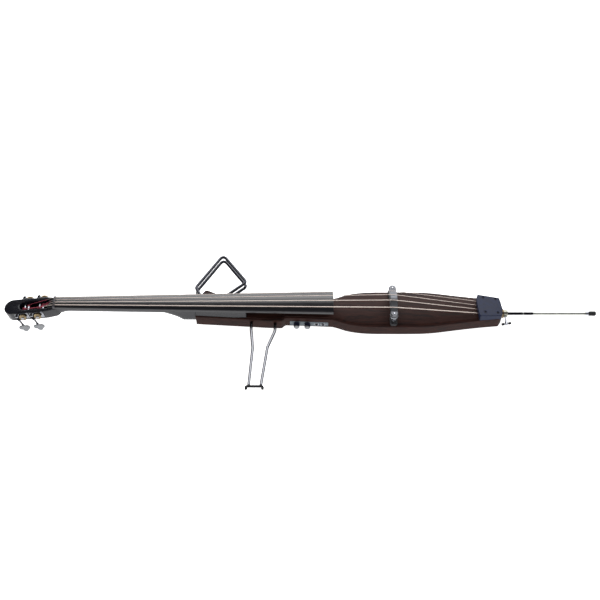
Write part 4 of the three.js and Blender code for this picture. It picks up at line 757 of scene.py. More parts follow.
# The slot's rim is rounded by r, so the cut widens by r (1 - cos) while it rises by r sin to the face
SLOT_RIM = 2.0
rim_turn = np.linspace(0, np.pi / 2, 7)
rim_heights = HEAD_THICK / 2 - SLOT_RIM + SLOT_RIM * np.sin(rim_turn)
slot_heights = np.concatenate([[SLOT_FLOOR, 0.0], rim_heights, [HEAD_THICK / 2 + 6]])
slot_wider = np.concatenate([[0.0, 0.0], SLOT_RIM * (1 - np.cos(rim_turn)), [SLOT_RIM]])
slot_rings = slot_outline[None] + slot_wider[:, None, None] * outline_normals(slot_outline)[None]
slot_levels = np.broadcast_to(slot_heights[:, None, None], slot_rings.shape[:2] + (1,))
slot_cut = skin(np.concatenate([slot_rings, slot_levels], -1))
head_cutters = [in_head(volute), in_head(slot_cut)]
ROLLER_PLAY, ROLLER_END = 0.25, SLOT_HALF + FAR_CHEEK
for name, along, side in MACHINES:
    far, near = [along, -side * ROLLER_END, ROLLER_Z], [along, side * 40, ROLLER_Z]
    head_cutters.append(in_head(rod(far, near, ROLLER_RADIUS + ROLLER_PLAY)))
# Room for the nut and the board: everything above the neck's top from 8.3 mm behind the nut's line
seat = slab(box_outline(80, 120, 1.0), NECK_TOP_Z, 90, SHARP)
head_cutters.append(seat.moved(FACE_UP, (NUT_X - 8.3 + 40, 0, 0)))
piece("neck_shaft", [neck_shaft], "bass", [black_lacquer], ["neck"], smooth=40)
piece("neck_tongue", [neck_tongue], "bass", [black_lacquer])
piece("head_block", [in_head(head_block)], "bass", [black_lacquer], (), head_cutters)


BOARD_LOW_Z = BOARD_Z + FIT / 2


def board_sections(x):
    """Flat underside with a hollow under the free end, upright edges and a round top of 66 to 72 mm
    radius, which drops by e (1 - sqrt(1 - t^2)) over the last e millimetres to each edge."""
    ease = 1.2
    t = ((x - NUT_X) / (BOARD_END_X - NUT_X))[:, None]
    half = board_half(x)[:, None]
    edge, camber = BOARD_LOW_Z + 7 + t, 66 + 6 * t
    s = np.linspace(-1, 1, 61)[None]
    y = s * half
    top = edge + np.sqrt(camber**2 - y**2) - np.sqrt(camber**2 - half**2)
    top = top - ease * (1 - np.sqrt(1 - np.clip((np.abs(y) - half + ease) / ease, 0, 1) ** 2))
    hollow = smoothstep((x[:, None] - NECK_END_X - 12) / 12) * smoothstep((half - 8 - np.abs(y)) / 2.0)
    low = BOARD_LOW_Z + 2.5 * hollow
    outline_y, outline_z = np.concatenate([y, y[:, ::-1]], 1), np.concatenate([low, top[:, ::-1]], 1)
    return np.stack([outline_y, outline_z], -1)


board_xs = np.linspace(NUT_X + FIT, BOARD_END_X, 120)
board = loft_along(board_xs, board_sections(board_xs), end_round=1.2)
piece("fingerboard_top", [board], "bass", [oiled_ebony], ["fingerboard"], smooth=50)

# Strings: the route of each from its roller over the nut and the bridge into the tailpiece. Each has
# its seat across in spacings, its radius and how high it lies on the bridge's arch.
NUT_THICK, NUT_SPACING, NUT_STRING_Z, NUT_LIFT = 7.5, 9.4, 66.5, 1.6
BRIDGE_SPACING, BRIDGE_STRING_Z, BRIDGE_LIFT = 21.4, 77.5, 9.0
STRINGS = [("E", -1.5, 1.35, 0), ("A", -0.5, 1.1, 1), ("D", 0.5, 0.85, 1), ("G", 1.5, 0.65, 0)]
TAIL_X, ANCHOR_X, TAIL_STRING_Z, TAIL_SHARE = 268.0, 290.0, 34.8, 0.72
ROLLER_TURNS, TURN_GAP, STRING_SIDES = 2.5, 0.45, 16


def string_route(name, seat, radius, lift):
    """A helix of 2.5 turns round the roller, then straight runs with rounded corners: the tangent to the
    nut, on to the bridge and down to the anchor."""
    along = next(place for machine, place, side in MACHINES if machine == name)
    nut_y, bridge_y = seat * NUT_SPACING, seat * BRIDGE_SPACING
    reach = ROLLER_RADIUS + FIT + radius
    nut_point = np.array([NUT_X - NUT_THICK / 2, nut_y, NUT_STRING_Z + lift * NUT_LIFT])
    local = HEAD_MATRIX.T @ (nut_point - HEAD_PLACE)
    dx, dz = local[0] - along, local[2] - ROLLER_Z
    leave = np.arctan2(dz, dx) + np.arccos(reach / np.hypot(dx, dz))
    # An outer string leaves its roller nearer the middle and winds outwards, an inner one the other way
    outer = abs(nut_y) > SLOT_HALF / 2
    exit_y = nut_y * (0.62 if outer else 0.8)
    drift = np.sign(nut_y) * (-1 if outer else 1)
    back = np.linspace(ROLLER_TURNS, 0, 101)
    angle = leave + TAU * back
    across = exit_y + drift * (2 * radius + TURN_GAP) * back
    winding = np.stack([along + reach * np.cos(angle), across, ROLLER_Z + reach * np.sin(angle)], -1)
    winding = winding @ HEAD_MATRIX.T + HEAD_PLACE
    bridge = np.array([0, bridge_y, BRIDGE_STRING_Z + lift * BRIDGE_LIFT])
    tail = np.array([TAIL_X, bridge_y * TAIL_SHARE, TAIL_STRING_Z])
    anchored = np.array([ANCHOR_X, bridge_y * TAIL_SHARE, TAIL_STRING_Z - 1])
    nut_front = nut_point + (bridge - nut_point) * NUT_THICK / 2 / -NUT_X
    corners = [
        winding[-1],
        nut_point + (winding[-1] - nut_point) * 0.3,
        nut_point + (winding[-1] - nut_point) * 0.06,
        nut_front,
        bridge + (nut_front - bridge) * 0.006,
        bridge + (tail - bridge) * 0.025,
        tail,
        anchored,
    ]
    return winding, rounded_path(corners, 18.0, 10)


for name, seat, radius, lift in STRINGS:
    winding, run = string_route(name, seat, radius, lift)
    path = np.concatenate([winding[:-1], run])
    wire = sweep(path, radius, STRING_SIDES, helper=(0, 1, 0))
    # The silk covers the windings and the way to the nut, up to the run's first corner
    row = np.arange(len(wire.faces[0])) // STRING_SIDES
    wire.slots[0] = np.where(row < len(winding) + 3, 1, 0)
    wire.slots[1][:] = 1
    obj = piece(
        f"wire_{name}", [wire], "bass", [flat_wound, red_silk], [f"string_{name}"], smooth=60
    )
    distance = np.concatenate([[0.0], np.cumsum(np.linalg.norm(np.diff(path, axis=0), axis=1))])
    values = np.concatenate([np.repeat(distance, STRING_SIDES), distance[[0, -1]]])
    obj.data.attributes.new("run", "FLOAT", "POINT").data.foreach_set("value", values.astype(np.float32))


def with_grooves(y, top, spacing, base_z, lift_step):
    """Lowers a top line to a round groove of each string's radius plus 0.35 mm where it crosses."""
    for name, seat, radius, lift in STRINGS:
        wide = radius + 0.35
        off = y - seat * spacing
        floor = base_z + lift * lift_step - np.sqrt(np.clip(wide**2 - off**2, 0, None))
        top = np.where(np.abs(off) < wide, np.minimum(top, floor), top)
    return top


# Nut: a low arch of 1 - t^2 whose ends drop by e (1 - sqrt(1 - t^2)) over their last e millimetres
NUT_EASE = 1.5
nut_y = np.linspace(-BOARD_NUT_HALF, BOARD_NUT_HALF, 260)
nut_top = 67.5 + BOARD_NUT_HALF * (0.2 * (1 - (nut_y / BOARD_NUT_HALF) ** 2) - 0.12)
to_end = np.clip((np.abs(nut_y) - BOARD_NUT_HALF + NUT_EASE) / NUT_EASE, 0, 1)
nut_top = nut_top - NUT_EASE * (1 - np.sqrt(1 - to_end**2))
nut_top = with_grooves(nut_y, nut_top, NUT_SPACING, NUT_STRING_Z, NUT_LIFT)
nut_low = np.stack([nut_y[::20], np.full(len(nut_y[::20]), BOARD_LOW_Z)], -1)
nut_outline = np.concatenate([np.stack([nut_y, nut_top], -1)[::-1], nut_low])
nut_block = slab(nut_outline, NUT_X - NUT_THICK, NUT_X - FIT / 2, bevel=0.6, steps=4)
piece("nut_block", [nut_block.moved(FACE_ALONG)], "bass", [dark_resin], ["nut"], smooth=35)

# Tuning machines: plate with lugs, worm with its clover key, gear, roller

GEAR_TEETH, WORM_LEAD, WORM_PITCH = 20, 3.4, 5.0
GEAR_PITCH = GEAR_TEETH * WORM_LEAD / TAU
WORM_OUT, WORM_RUN, WORM_SLANT, PLATE_THICK = 8.4, 15.0, np.radians(2), 2.0
FLANK = np.tan(np.radians(20))
KEY_STEM, KEY_LOBE, KEY_THICK = 42.5, 9.2, 4.0
GEAR_HALF, GEAR_BORE = 2.5, 2.75


def worm_frame(along):
    """Axis triple and place of a worm: x to the gear, y down the shaft to the key, z out of the cheek."""
    down = np.array([np.sin(WORM_SLANT), 0, -np.cos(WORM_SLANT)])
    gearward = np.array([np.cos(WORM_SLANT), 0, np.sin(WORM_SLANT)])
    matrix = np.stack([gearward, down, np.array([0, -1.0, 0])], 1)
    middle = np.array([along, 0, ROLLER_Z]) - gearward * (GEAR_PITCH + WORM_PITCH)
    return matrix, np.array([middle[0], -HEAD_HALF - WORM_OUT, middle[2]])


def worm_thread():
    """Trapezoid section carried round a helix of 3.4 mm lead: radius and rise of its four corners, the
    section's height easing to nothing over the first and last third of a turn."""
    turns = (WORM_RUN - 2) / WORM_LEAD
    k = np.linspace(-turns / 2, turns / 2, int(turns * 40))
    full = smoothstep((turns / 2 - np.abs(k)) / 0.3)
    root, tip = WORM_PITCH - 1.45, WORM_PITCH + 0.8
    corners = np.array([[root, -1], [tip, -1], [tip, 1], [root, 1]])
    radius = root + (corners[:, 0] - root)[None] * np.maximum(full, 0.05)[:, None]
    half = np.where(
        corners[:, 0] == root, 0.5 + (WORM_PITCH - root) * FLANK, 0.5 - (tip - WORM_PITCH) * FLANK
    )
    rise = (corners[:, 1] * half)[None] + WORM_LEAD * k[:, None]
    angle = TAU * k[:, None]
    return skin(np.stack([radius * np.cos(angle), rise, radius * np.sin(angle)], -1))


def clover():
    """Outline of a key: three round lobes that run into each other above a narrow neck with hollow
    sides, each lobe an arc about its own middle."""
    side = np.array([KEY_LOBE, 0.42 * KEY_LOBE])
    top = np.array([0, 1.5 * KEY_LOBE])
    across = top - side
    out = -np.array([-across[1], across[0]]) / np.linalg.norm(across)
    notch = (side + top) / 2 + out * np.sqrt(KEY_LOBE**2 - across @ across / 4)
    top_start = np.arctan2(*(notch - top)[::-1])
    side_end = np.arctan2(*(notch - side)[::-1])

    def arc(middle, start, end):
        """Points of a lobe: its middle plus KEY_LOBE times cos and sin from one angle to another."""
        turn = np.linspace(start, end, 22)
        return middle + KEY_LOBE * np.stack([np.cos(turn), np.sin(turn)], -1)

    low = -0.62 * np.pi
    neck = np.array([[-3.25, -13.0], [3.25, -13.0]])
    lower = neck[1] + (arc(side, low, low + 0.1)[0] - neck[1]) * np.linspace(0.2, 0.9, 4)[:, None]
    right = np.concatenate([lower, arc(side, low, side_end), arc(top, top_start, np.pi / 2)[:-1]])
    left = right[::-1] * [-1, 1]
    return np.concatenate([neck[1:], right, left, neck[:1]])


def gear_outline(facing):
    """Twenty teeth with straight 20 degree flanks, a gap facing the worm; roots eased."""
    tip, root = GEAR_PITCH + 0.8, GEAR_PITCH - 1.05
    middle = facing + (np.arange(GEAR_TEETH) + 0.5) * TAU / GEAR_TEETH
    radius = np.array([root, root + 0.25, tip - 0.2, tip, tip, tip - 0.2, root + 0.25, root])
    half = (0.675 - (radius - GEAR_PITCH) * FLANK) / radius
    half = half + np.array([0.02, 0, 0, -0.02, -0.02, 0, 0, 0.02])
    way = np.array([-1, -1, -1, -1, 1, 1, 1, 1])
    angle = middle[:, None] + way * half
    return np.stack([radius * np.cos(angle), radius * np.sin(angle)], -1).reshape(-1, 2)


thread = worm_thread()
key_plate = slab(clover(), -KEY_THICK / 2, KEY_THICK / 2, bevel=1.3, steps=5)
for name, along, side in MACHINES:
    matrix, place = worm_frame(along)
    flip = np.diag([1.0, -side, 1.0])

    def on_cheek(mesh):
        """Puts a mesh of the machine, drawn for the bass cheek, on its own cheek of the head."""
        return in_head(mesh.moved(flip))

    def in_machine(mesh):
        """Carries a mesh from the worm's frame to the head's."""
        return mesh.moved(matrix, place)

    plate_x, plate_z, plate_y = along - 3.5, ROLLER_Z - 1, HEAD_HALF + PLATE_THICK
    plate = slab(box_outline(44, 27, 6), HEAD_HALF + FIT, plate_y, bevel=0.7, bottom_bevel=0.1)
    plate = plate.moved(FACE_FRONT, (plate_x, 0, plate_z))
    lugs, stub = [], WORM_RUN / 2 + 0.4
    for low in (-stub - 4, stub):
        base = slab(box_outline(10.4, 4, 0.6), -WORM_OUT + FIT + 0.2, 0, SHARP)
        lugs.append(in_machine(base.moved(FACE_UP, (0, low + 2, 0))))
        eye = turned([[0, 0], [5.2, 0], [5.2, 4], [0, 4]], (0, 1, 0), (0, low, 0), 40, 0.6)
        lugs.append(in_machine(eye))
    screws = []
    for x, z in ((-17.5, 9), (-17.5, -9), (17.5, 9), (17.5, -9)):
        head = turned(
            [[0, 0], [2.9, 0], [2.7, 0.7], [1.6, 1.2], [0.9, 1.3], [0.9, 0.7], [0, 0.7]],
            (0, -1, 0), (plate_x + x, -plate_y + 0.2, plate_z + z), 28, 0.15,
        )
        screws.append(head)
    shaft_hole = turned([[0, 0], [2.85, 0], [2.85, 34], [0, 34]], (0, 1, 0), (0, -17, 0), 32, SHARP)
    axle_hole = rod([along, -20, ROLLER_Z], [along, -50, ROLLER_Z], ROLLER_RADIUS + ROLLER_PLAY)
    piece(
        f"machine_plate_{name}", [on_cheek(part) for part in [plate, *lugs, *screws]], "bass", [chrome],
        [f"tuner_plate_{name}"], [on_cheek(in_machine(shaft_hole)), on_cheek(axle_hole)], smooth=40,
    )

    shaft = turned(
        [
            [0, 0], [2.6, 0], [2.6, 6.4], [3.95, 6.4], [3.95, 21.4], [2.6, 21.4], [2.6, 28], [3.4, 29],
            [3.4, 31], [2.6, 32], [2.6, 46], [3.6, 48], [3.6, 50.5], [2.4, 52], [2.4, 56], [0, 56],
        ],
        (0, 1, 0), (0, -13.9, 0), 32, 0.35,
    )
    key = key_plate.moved(np.eye(3), (0, KEY_STEM + KEY_LOBE / 2, 0))
    worm = [on_cheek(in_machine(part)) for part in (shaft, thread, key)]
    # The shaft and the thread take the chrome darkened as painted shade
    for part in worm[:2]:
        part.painted(1)
    piece(
        f"machine_key_{name}", worm, f"key_{name}", [satin_nickel, dark_chrome],
        [f"tuner_key_{name}"], smooth=35,
    )

    facing = np.arctan2(-np.sin(WORM_SLANT), -np.cos(WORM_SLANT))
    wheel = slab(gear_outline(facing), -GEAR_HALF, GEAR_HALF, bevel=0.35, steps=3)
    wheel = wheel.moved(FACE_FRONT, (along, -HEAD_HALF - WORM_OUT, ROLLER_Z))
    hub_long = WORM_OUT - GEAR_HALF - PLATE_THICK - FIT + 0.2
    hub = turned(
        [[GEAR_BORE, 0], [6.0, 0], [6.0, hub_long], [GEAR_BORE, hub_long]], (0, -1, 0),
        (along, -HEAD_HALF - PLATE_THICK - FIT, ROLLER_Z), 40, 0.2, looped=True,
    )
    ring_cut = turned(
        [[4.6, 0], [7.6, 0], [7.6, 3], [4.6, 3]], (0, -1, 0),
        (along, -HEAD_HALF - WORM_OUT - 1.6, ROLLER_Z), 48, 0.2, looped=True,
    )
    bore = rod([along, -HEAD_HALF, ROLLER_Z], [along, -50, ROLLER_Z], GEAR_BORE)
    piece(
        f"machine_gear_{name}", [on_cheek(wheel), on_cheek(hub)], f"roller_{name}", [turned_brass],
        [f"tuner_gear_{name}"], [on_cheek(bore), on_cheek(ring_cut)], smooth=32,
    )

    far_end = ROLLER_END - 1
    shoulder = far_end + HEAD_HALF + PLATE_THICK + FIT / 2
    cap = far_end + HEAD_HALF + WORM_OUT + GEAR_HALF + FIT
    roller = turned(
        [
            [0, 0], [4.4, 0], [4.4, shoulder], [2.6, shoulder], [2.6, cap], [5.2, cap], [5.0, cap + 1.2],
            [3.4, cap + 2.0], [1.2, cap + 2.0], [0.8, cap + 1.2], [0, cap + 1.2],
        ],
        (0, -1, 0), (along, far_end, ROLLER_Z), 40, 0.3,
    )
    piece(
        f"machine_roller_{name}", [on_cheek(roller)], f"roller_{name}", [chrome],
        [f"tuner_roller_{name}"], smooth=40,
    )

# Bridge: arched bar on two threaded posts with knurled wheels

BAR_HALF, BAR_WIDE, BAR_LOW, BAR_END_TOP, POST_Y = 60.0, 23.0, 60.0, 70.5, 50.0
# The bar's plan ends in round corners of BAR_ROUND; its top rises by half a cosine wave to the middle
BAR_ROUND = 9.66
BAR_STRAIGHT = BAR_HALF - BAR_ROUND
bar_turn = BAR_ROUND * (1 - np.cos(np.linspace(0, np.pi / 2, 14)))
bar_y = np.concatenate(
    [
        -BAR_HALF + bar_turn[:-1],
        np.linspace(-BAR_STRAIGHT, BAR_STRAIGHT, 420),
        BAR_HALF - bar_turn[::-1][1:],
    ]
)
spread = np.abs(bar_y) / (0.62 * BAR_HALF)
bell = np.where(spread < 1, (1 + np.cos(np.pi * np.minimum(spread, 1))) / 2, 0)
fall = 1 - smoothstep((spread - 0.85) / 0.35)
bar_top = BAR_END_TOP + (76.5 - BAR_END_TOP) * fall + 10.4 * bell
bar_top = with_grooves(bar_y, bar_top, BRIDGE_SPACING, BRIDGE_STRING_Z, BRIDGE_LIFT)
past_straight = np.clip((np.abs(bar_y) - BAR_STRAIGHT) / BAR_ROUND, 0, 1)
bar_wide = BAR_WIDE / 2 - BAR_ROUND * (1 - np.sqrt(1 - past_straight**2 * 0.998))


def bar_sections(wide, top):
    """Cross section of the bar: rectangle with 1.6 mm round corners below and a top edge eased by 3 mm
    at 45 degrees, so the saddle line stands narrow over the bar."""
    turn = np.linspace(0, np.pi / 2, 6)[None]
    wide, top = wide[:, None], top[:, None]
    low_x = wide - 1.6 * (1 - np.sin(turn))
    low_z = BAR_LOW + 1.6 * (1 - np.cos(turn)) + 0 * wide
    high_x = wide - np.minimum(3.4, 0.6 * wide) * (1 - np.cos(turn))
    high_z = top - 3.4 * (1 - np.sin(turn))
    x = np.concatenate([low_x, high_x, -high_x[:, ::-1], -low_x[:, ::-1]], 1)
    z = np.concatenate([low_z, high_z, high_z[:, ::-1], low_z[:, ::-1]], 1)
    return x, z


bar_x, bar_z = bar_sections(bar_wide, bar_top)
bar_mesh = skin(np.stack([bar_x, bar_y[:, None] + 0 * bar_x, bar_z], -1))
post_holes = [rod([0, s * POST_Y, 40], [0, s * POST_Y, 110], 4.3) for s in (-1, 1)]
piece("bridge_arch", [bar_mesh], "bass", [cast_bar], ["bridge_bar"], post_holes, smooth=35)

KNURLS, KNURL_RADIUS = 36, 12.3
knurl = np.arange(KNURLS * 8) * TAU / (KNURLS * 8)
knurl_radius = KNURL_RADIUS + 0.2 * np.cos(KNURLS * knurl)
knurl_outline = knurl_radius[:, None] * np.stack([np.cos(knurl), np.sin(knurl)], -1)
for side, name in ((-1, "bass"), (1, "treble")):
    wheel = slab(knurl_outline, 54.7, 59.7, bevel=0.9, steps=4).moved(FACE_UP, (0, side * POST_Y, 0))
    piece(
        f"thumb_wheel_{name}", [wheel], f"wheel_{name}", [chrome], [f"bridge_wheel_{name}"],
        [rod([0, side * POST_Y, 40], [0, side * POST_Y, 70], 4.2)], smooth=30,
    )
    profile = [[0, 0], [3.5, 0]]
    profile += [[4.0 if k % 2 else 3.62, 1 + 0.5 * k] for k in range(74)]
    profile += [[3.4, 38.6], [2.6, 39.2], [0, 39.2]]
    post = turned(profile, (0, 0, 1), (0, side * POST_Y, 32.3), 32, 0.08)
    piece(f"threaded_post_{name}", [post], "bass", [chrome], [f"bridge_post_{name}"], smooth=60)
    foot_plan = box_outline(23, 34, 7)
    surface = crown_z(foot_plan[:, 1] + side * POST_Y, float(body_half(0.0)))
    turn = np.linspace(0, np.pi / 2, 6)
    rings = [np.stack([*foot_plan.T, np.minimum(surface, 36) + 0.3], -1)]
    for angle in turn:
        shrunk = foot_plan - 1.6 * (1 - np.cos(angle)) * outline_normals(foot_plan)
        rings.append(np.stack([*shrunk.T, np.full(len(shrunk), 37 - 1.6 * (1 - np.sin(angle)))], -1))
    foot = skin(np.array(rings)).moved(FACE_UP, (0, side * POST_Y, 0))
    cup = turned(
        [[0, 0], [7.5, 0], [7.5, 1.4], [5.6, 2.6], [0, 2.6]], (0, 0, 1), (0, side * POST_Y, 36.6), 40, 0.4
    )
    piece(
        f"bridge_shoe_{name}", [foot, cup.painted(1)], "bass", [black_rubber, chrome],
        [f"bridge_foot_{name}"], [rod([0, side * POST_Y, 31.9], [0, side * POST_Y, 60], 4.15)], smooth=40,
    )

# Tailpiece cover: a wedge that slopes to the tail, bowed at both ends, with four sunk screws

COVER_LOW, COVER_FRONT_X, COVER_END_X = 20.0, 271.0, 339.0
COVER_FRONT_Z, COVER_END_Z, COVER_BEVEL = 46.0, 37.3, 1.8


def cover_top(x):
    """Height of the cover: a straight line from its front down to its end."""
    share = (COVER_END_Z - COVER_FRONT_Z) * (x - COVER_FRONT_X)
    return COVER_FRONT_Z + share / (COVER_END_X - COVER_FRONT_X)


def cover_plan(lean, inset):
    """Four-sided plan whose front is bowed 4 mm to the strings and whose end is bowed 4 mm, each
    (1 - t^2) along it, with corners eased by 3 mm; lean narrows it and inset moves it in all round."""
    front = float(body_half(TAIL_X)) - 1.5 - lean - inset
    end = float(body_half(COVER_END_X - TAIL_CORNER)) - 1.5 - lean - inset
    t = np.linspace(-1, 1, 31)
    tail = np.stack([COVER_END_X + 2.7 - inset + 4 * (1 - t**2), end * t], -1)
    head = np.stack([COVER_FRONT_X + inset - 4 * (1 - t**2), front * t], -1)[::-1]
    ease = 1 - np.clip((np.abs(t) - 0.9) / 0.1, 0, 1) ** 2 * 0.5
    tail[:, 0] -= 2.5 * (1 - ease)
    head[:, 0] += 2.5 * (1 - ease)[::-1]
    return np.concatenate([tail, head])


# Rings of the cover: its foot, halfway up, then a quarter round into the top
foot_plan, half_plan = cover_plan(0.0, 0.0), cover_plan(1.0, 0.0)
half_up = (COVER_LOW + cover_top(half_plan[:, 0]) - COVER_BEVEL) / 2
rings = [
    np.stack([*foot_plan.T, np.full(len(foot_plan), COVER_LOW)], -1),
    np.stack([*half_plan.T, half_up], -1),
]
for turn in np.linspace(0, np.pi / 2, 7):
    plan = cover_plan(2.0, COVER_BEVEL * (1 - np.cos(turn)))
    rings.append(np.stack([*plan.T, cover_top(plan[:, 0]) - COVER_BEVEL * (1 - np.sin(turn))], -1))
cover_mesh = skin(np.array(rings))
slope = np.arctan2(COVER_FRONT_Z - COVER_END_Z, COVER_END_X - COVER_FRONT_X)
lid_axis = np.array([np.sin(slope), 0, np.cos(slope)])
SCREW_PLACES = [(288.5, 31.5), (328.5, 29.0), (289.5, -25.0), (329.5, -24.0)]
cover_cutters, cover_screws = [], []
for x, y in SCREW_PLACES:
    middle = np.array([x, y, cover_top(x)])
    cover_cutters.append(
        turned([[0, 0], [3.9, 0], [4.6, 2.4], [4.6, 5], [0, 5]], lid_axis, middle - 2.4 * lid_axis, 40, 0.2)
    )
    cover_screws.append(
        turned(
            [[0, 0], [3.6, 0], [3.4, 0.9], [2.0, 1.3], [1.5, 1.3], [1.5, 0.4], [0, 0.4]],
            lid_axis, middle - 2.6 * lid_axis, 36, 0.15,
        )
    )
for name, seat, radius, lift in STRINGS:
    y = seat * BRIDGE_SPACING * TAIL_SHARE
    front, back = [255, y, TAIL_STRING_Z + 0.3], [292, y, TAIL_STRING_Z - 1.2]
    cover_cutters.append(rod(front, back, radius + 1.1, 24))
cover_cutters.append(rod([322, 0, 0], [360, 0, 0], 15.0))
piece(
    "tailpiece_lid", [cover_mesh], "bass", [slate_cover], ["tailpiece_cover"], cover_cutters,
    smooth=40,
)
piece("tailpiece_screws", cover_screws, "bass", [black_screw])

# Controls on the bass side: places along the panel, its middle being 0
KNOBS = [(-39, "volume"), (-5, "tone")]
JACKS = [(23.5, "output"), (44, "phones")]
PANEL_SCREWS = (-56.5, 56.5)
plate = slab(box_outline(PANEL_LONG, PANEL_HIGH, 3), -1.5, 0.5, bevel=0.5, steps=4)
panel_cut = [on_panel(rod([x, -6, 0], [x, 6, 0], 4.7)) for x, name in KNOBS]
panel_cut += [on_panel(rod([x, -6, 0], [x, 6, 0], 5.3)) for x, name in JACKS]
panel_cut += [on_panel(rod([x, -3, 0], [x, -0.1, 0], 2.2)) for x in PANEL_SCREWS]
piece(
    "panel_plate", [on_panel(plate.moved(FACE_FRONT))], "bass", [grey_plate],
    ["control_plate"], panel_cut, smooth=40,
)
panel_screws = [
    turned([[0, 0], [2.0, 0], [1.8, 0.5], [0.9, 0.7], [0.7, 0.4], [0, 0.4]], (0, -1, 0), (x, 0.2, 0), 24, 0.1)
    for x in PANEL_SCREWS
]
piece("panel_screws", [on_panel(part) for part in panel_screws], "bass", [chrome])
FLUTES = 30
for x, name in KNOBS:
    angle = np.arange(FLUTES * 8) * TAU / (FLUTES * 8)
    rings = []
    for radius, height in [
        (10.0, 0.8), (10.0, 2.2), (9.4, 3.0), (9.2, 4.0), (9.1, 9.0), (8.9, 13.0), (8.3, 14.8),
        (7.4, 16.0), (6.0, 16.8), (3.0, 17.3), (0.5, 17.45),
    ]:
        flute = 0.22 * np.cos(FLUTES * angle) if 3.5 < height < 15 else 0 * angle
        ring = (radius + flute)[:, None] * np.stack([np.cos(angle), np.sin(angle)], -1)
        rings.append(np.concatenate([ring, np.full((len(ring), 1), height)], 1))
    cap = skin(np.array(rings))
    # Navy up to the knob's shoulder, a nickel crown above it
    cap.slots[0] = np.where(np.arange(len(cap.faces[0])) // len(angle) >= 5, 1, 0)
    cap.slots[2] = np.full(len(cap.slots[2]), 1)
    cap_cut = turned(
        [[0, 0], [5.4, 0], [5.4, 2.5], [3.2, 2.5], [3.2, 15], [0, 15]], (0, 0, 1), (0, 0, -0.5), 32, 0.05
    )
    place = (x, -0.8, 0)
    piece(
        f"knob_cap_{name}", [on_panel(cap.moved(FACE_FRONT, place))], f"knob_{name}",
        [navy_knob, satin_nickel], [f"knob_{name}"], [on_panel(cap_cut.moved(FACE_FRONT, place))],
        smooth=30,
    )
for x, name in JACKS:
    hexagon = eased(
        np.array([[7 * np.cos(a), 7 * np.sin(a)] for a in np.arange(8) * TAU / 6 + 0.3]), 0.5, 3
    )[4:-5]
    nut = slab(hexagon, 0.8, 2.9, bevel=0.5, steps=3)
    washer = turned(
        [[3.6, 0], [8.2, 0], [8.2, 0.7], [3.6, 0.7]], (0, 0, 1), (0, 0, 0.55), 48, 0.2, looped=True
    )
    mouth = turned([[0, 0], [3.3, 0], [3.3, 6], [0, 6]], (0, 0, 1), (0, 0, 0), 40, SHARP)
    barrel = turned(
        [
            [3.3, -31.0], [3.3, 3.6], [4.4, 3.6], [4.6, 3.2], [4.6, -1.2], [7.6, -1.2], [7.6, -31.4],
            [3.3, -31.4],
        ],
        (0, 0, 1), (0, 0, 0), 40, 0.25, looped=True,
    )
    place = (x, 0, 0)
    piece(
        f"jack_socket_{name}",
        [on_panel(part.moved(FACE_FRONT, place)) for part in (barrel.painted(1), washer, nut)],
        "bass", [chrome, black_case], [f"jack_{name}"],
        [on_panel(mouth.moved(FACE_FRONT, place))], smooth=35,
    )

# Endpin: flange, collar with its T-screw, grooved rod, ferrule and rubber tip
X_AXIS = np.array([1.0, 0, 0])
flange = turned(
    [
        [5.05, 280], [12, 280], [12, 349], [14.5, 349], [14.5, 351.5], [13.6, 352.2], [13.6, 353.2],
        [14.5, 354], [14.3, 356], [5.05, 356],
    ],
    X_AXIS, (0, 0, 0), 64, 0.5, looped=True,
)
piece("pin_flange", [flange], "bass", [turned_brass], ["endpin_socket"], smooth=40)
collar = turned(
    [
        [5.05, 356.3], [11.5, 356.3], [12.5, 357.1], [12.5, 364.5], [11.9, 365.2], [11.9, 366],
        [12.2, 366.6], [10.5, 369.3], [5.05, 369.3],
    ],
    X_AXIS, (0, 0, 0), 64, 0.4, looped=True,
)
SCREW_X, HANDLE_Y = 361.3, -40.0
piece(
    "pin_collar", [collar], "bass", [satin_collar], ["endpin_collar"],
    [rod([SCREW_X, 0, 0], [SCREW_X, -30, 0], 2.8)], smooth=40,
)
stem = turned(
    [[0, 0], [2.2, 0], [2.5, 0.6], [2.5, 22], [2.5, 25.8], [4.5, 26.6], [4.5, 38.2], [3.0, 38.8], [0, 38.8]],
    (0, -1, 0), (SCREW_X, -5.1, 0), 36, 0.5,
)
turn = np.radians(15)
handle_axis = np.array([np.cos(turn), 0, np.sin(turn)])
handle_middle = np.array([SCREW_X, HANDLE_Y, 0])
handle = turned(
    [
        [0, 0], [2.6, 0], [3.6, 1.2], [3.6, 5.5], [3.1, 7.5], [3.0, 22.5], [3.6, 24.5], [3.6, 28.8],
        [2.6, 30], [0, 30],
    ],
    handle_axis, handle_middle - 15 * handle_axis, 40, 0.6,
)
grip_profile = [[0, -0.2], [3.0, -0.2], [4.0, 1.0], [4.0, 8.5], [3.0, 9.6], [0, 9.6]]
grips = [
    turned(grip_profile, way * handle_axis, handle_middle - way * 15.2 * handle_axis, 40, 0.5).painted(1)
    for way in (1, -1)
]
piece(
    "pin_screw", [stem, handle, *grips], "endpin_screw", [chrome, black_rubber],
    ["endpin_screw"], smooth=40,
)
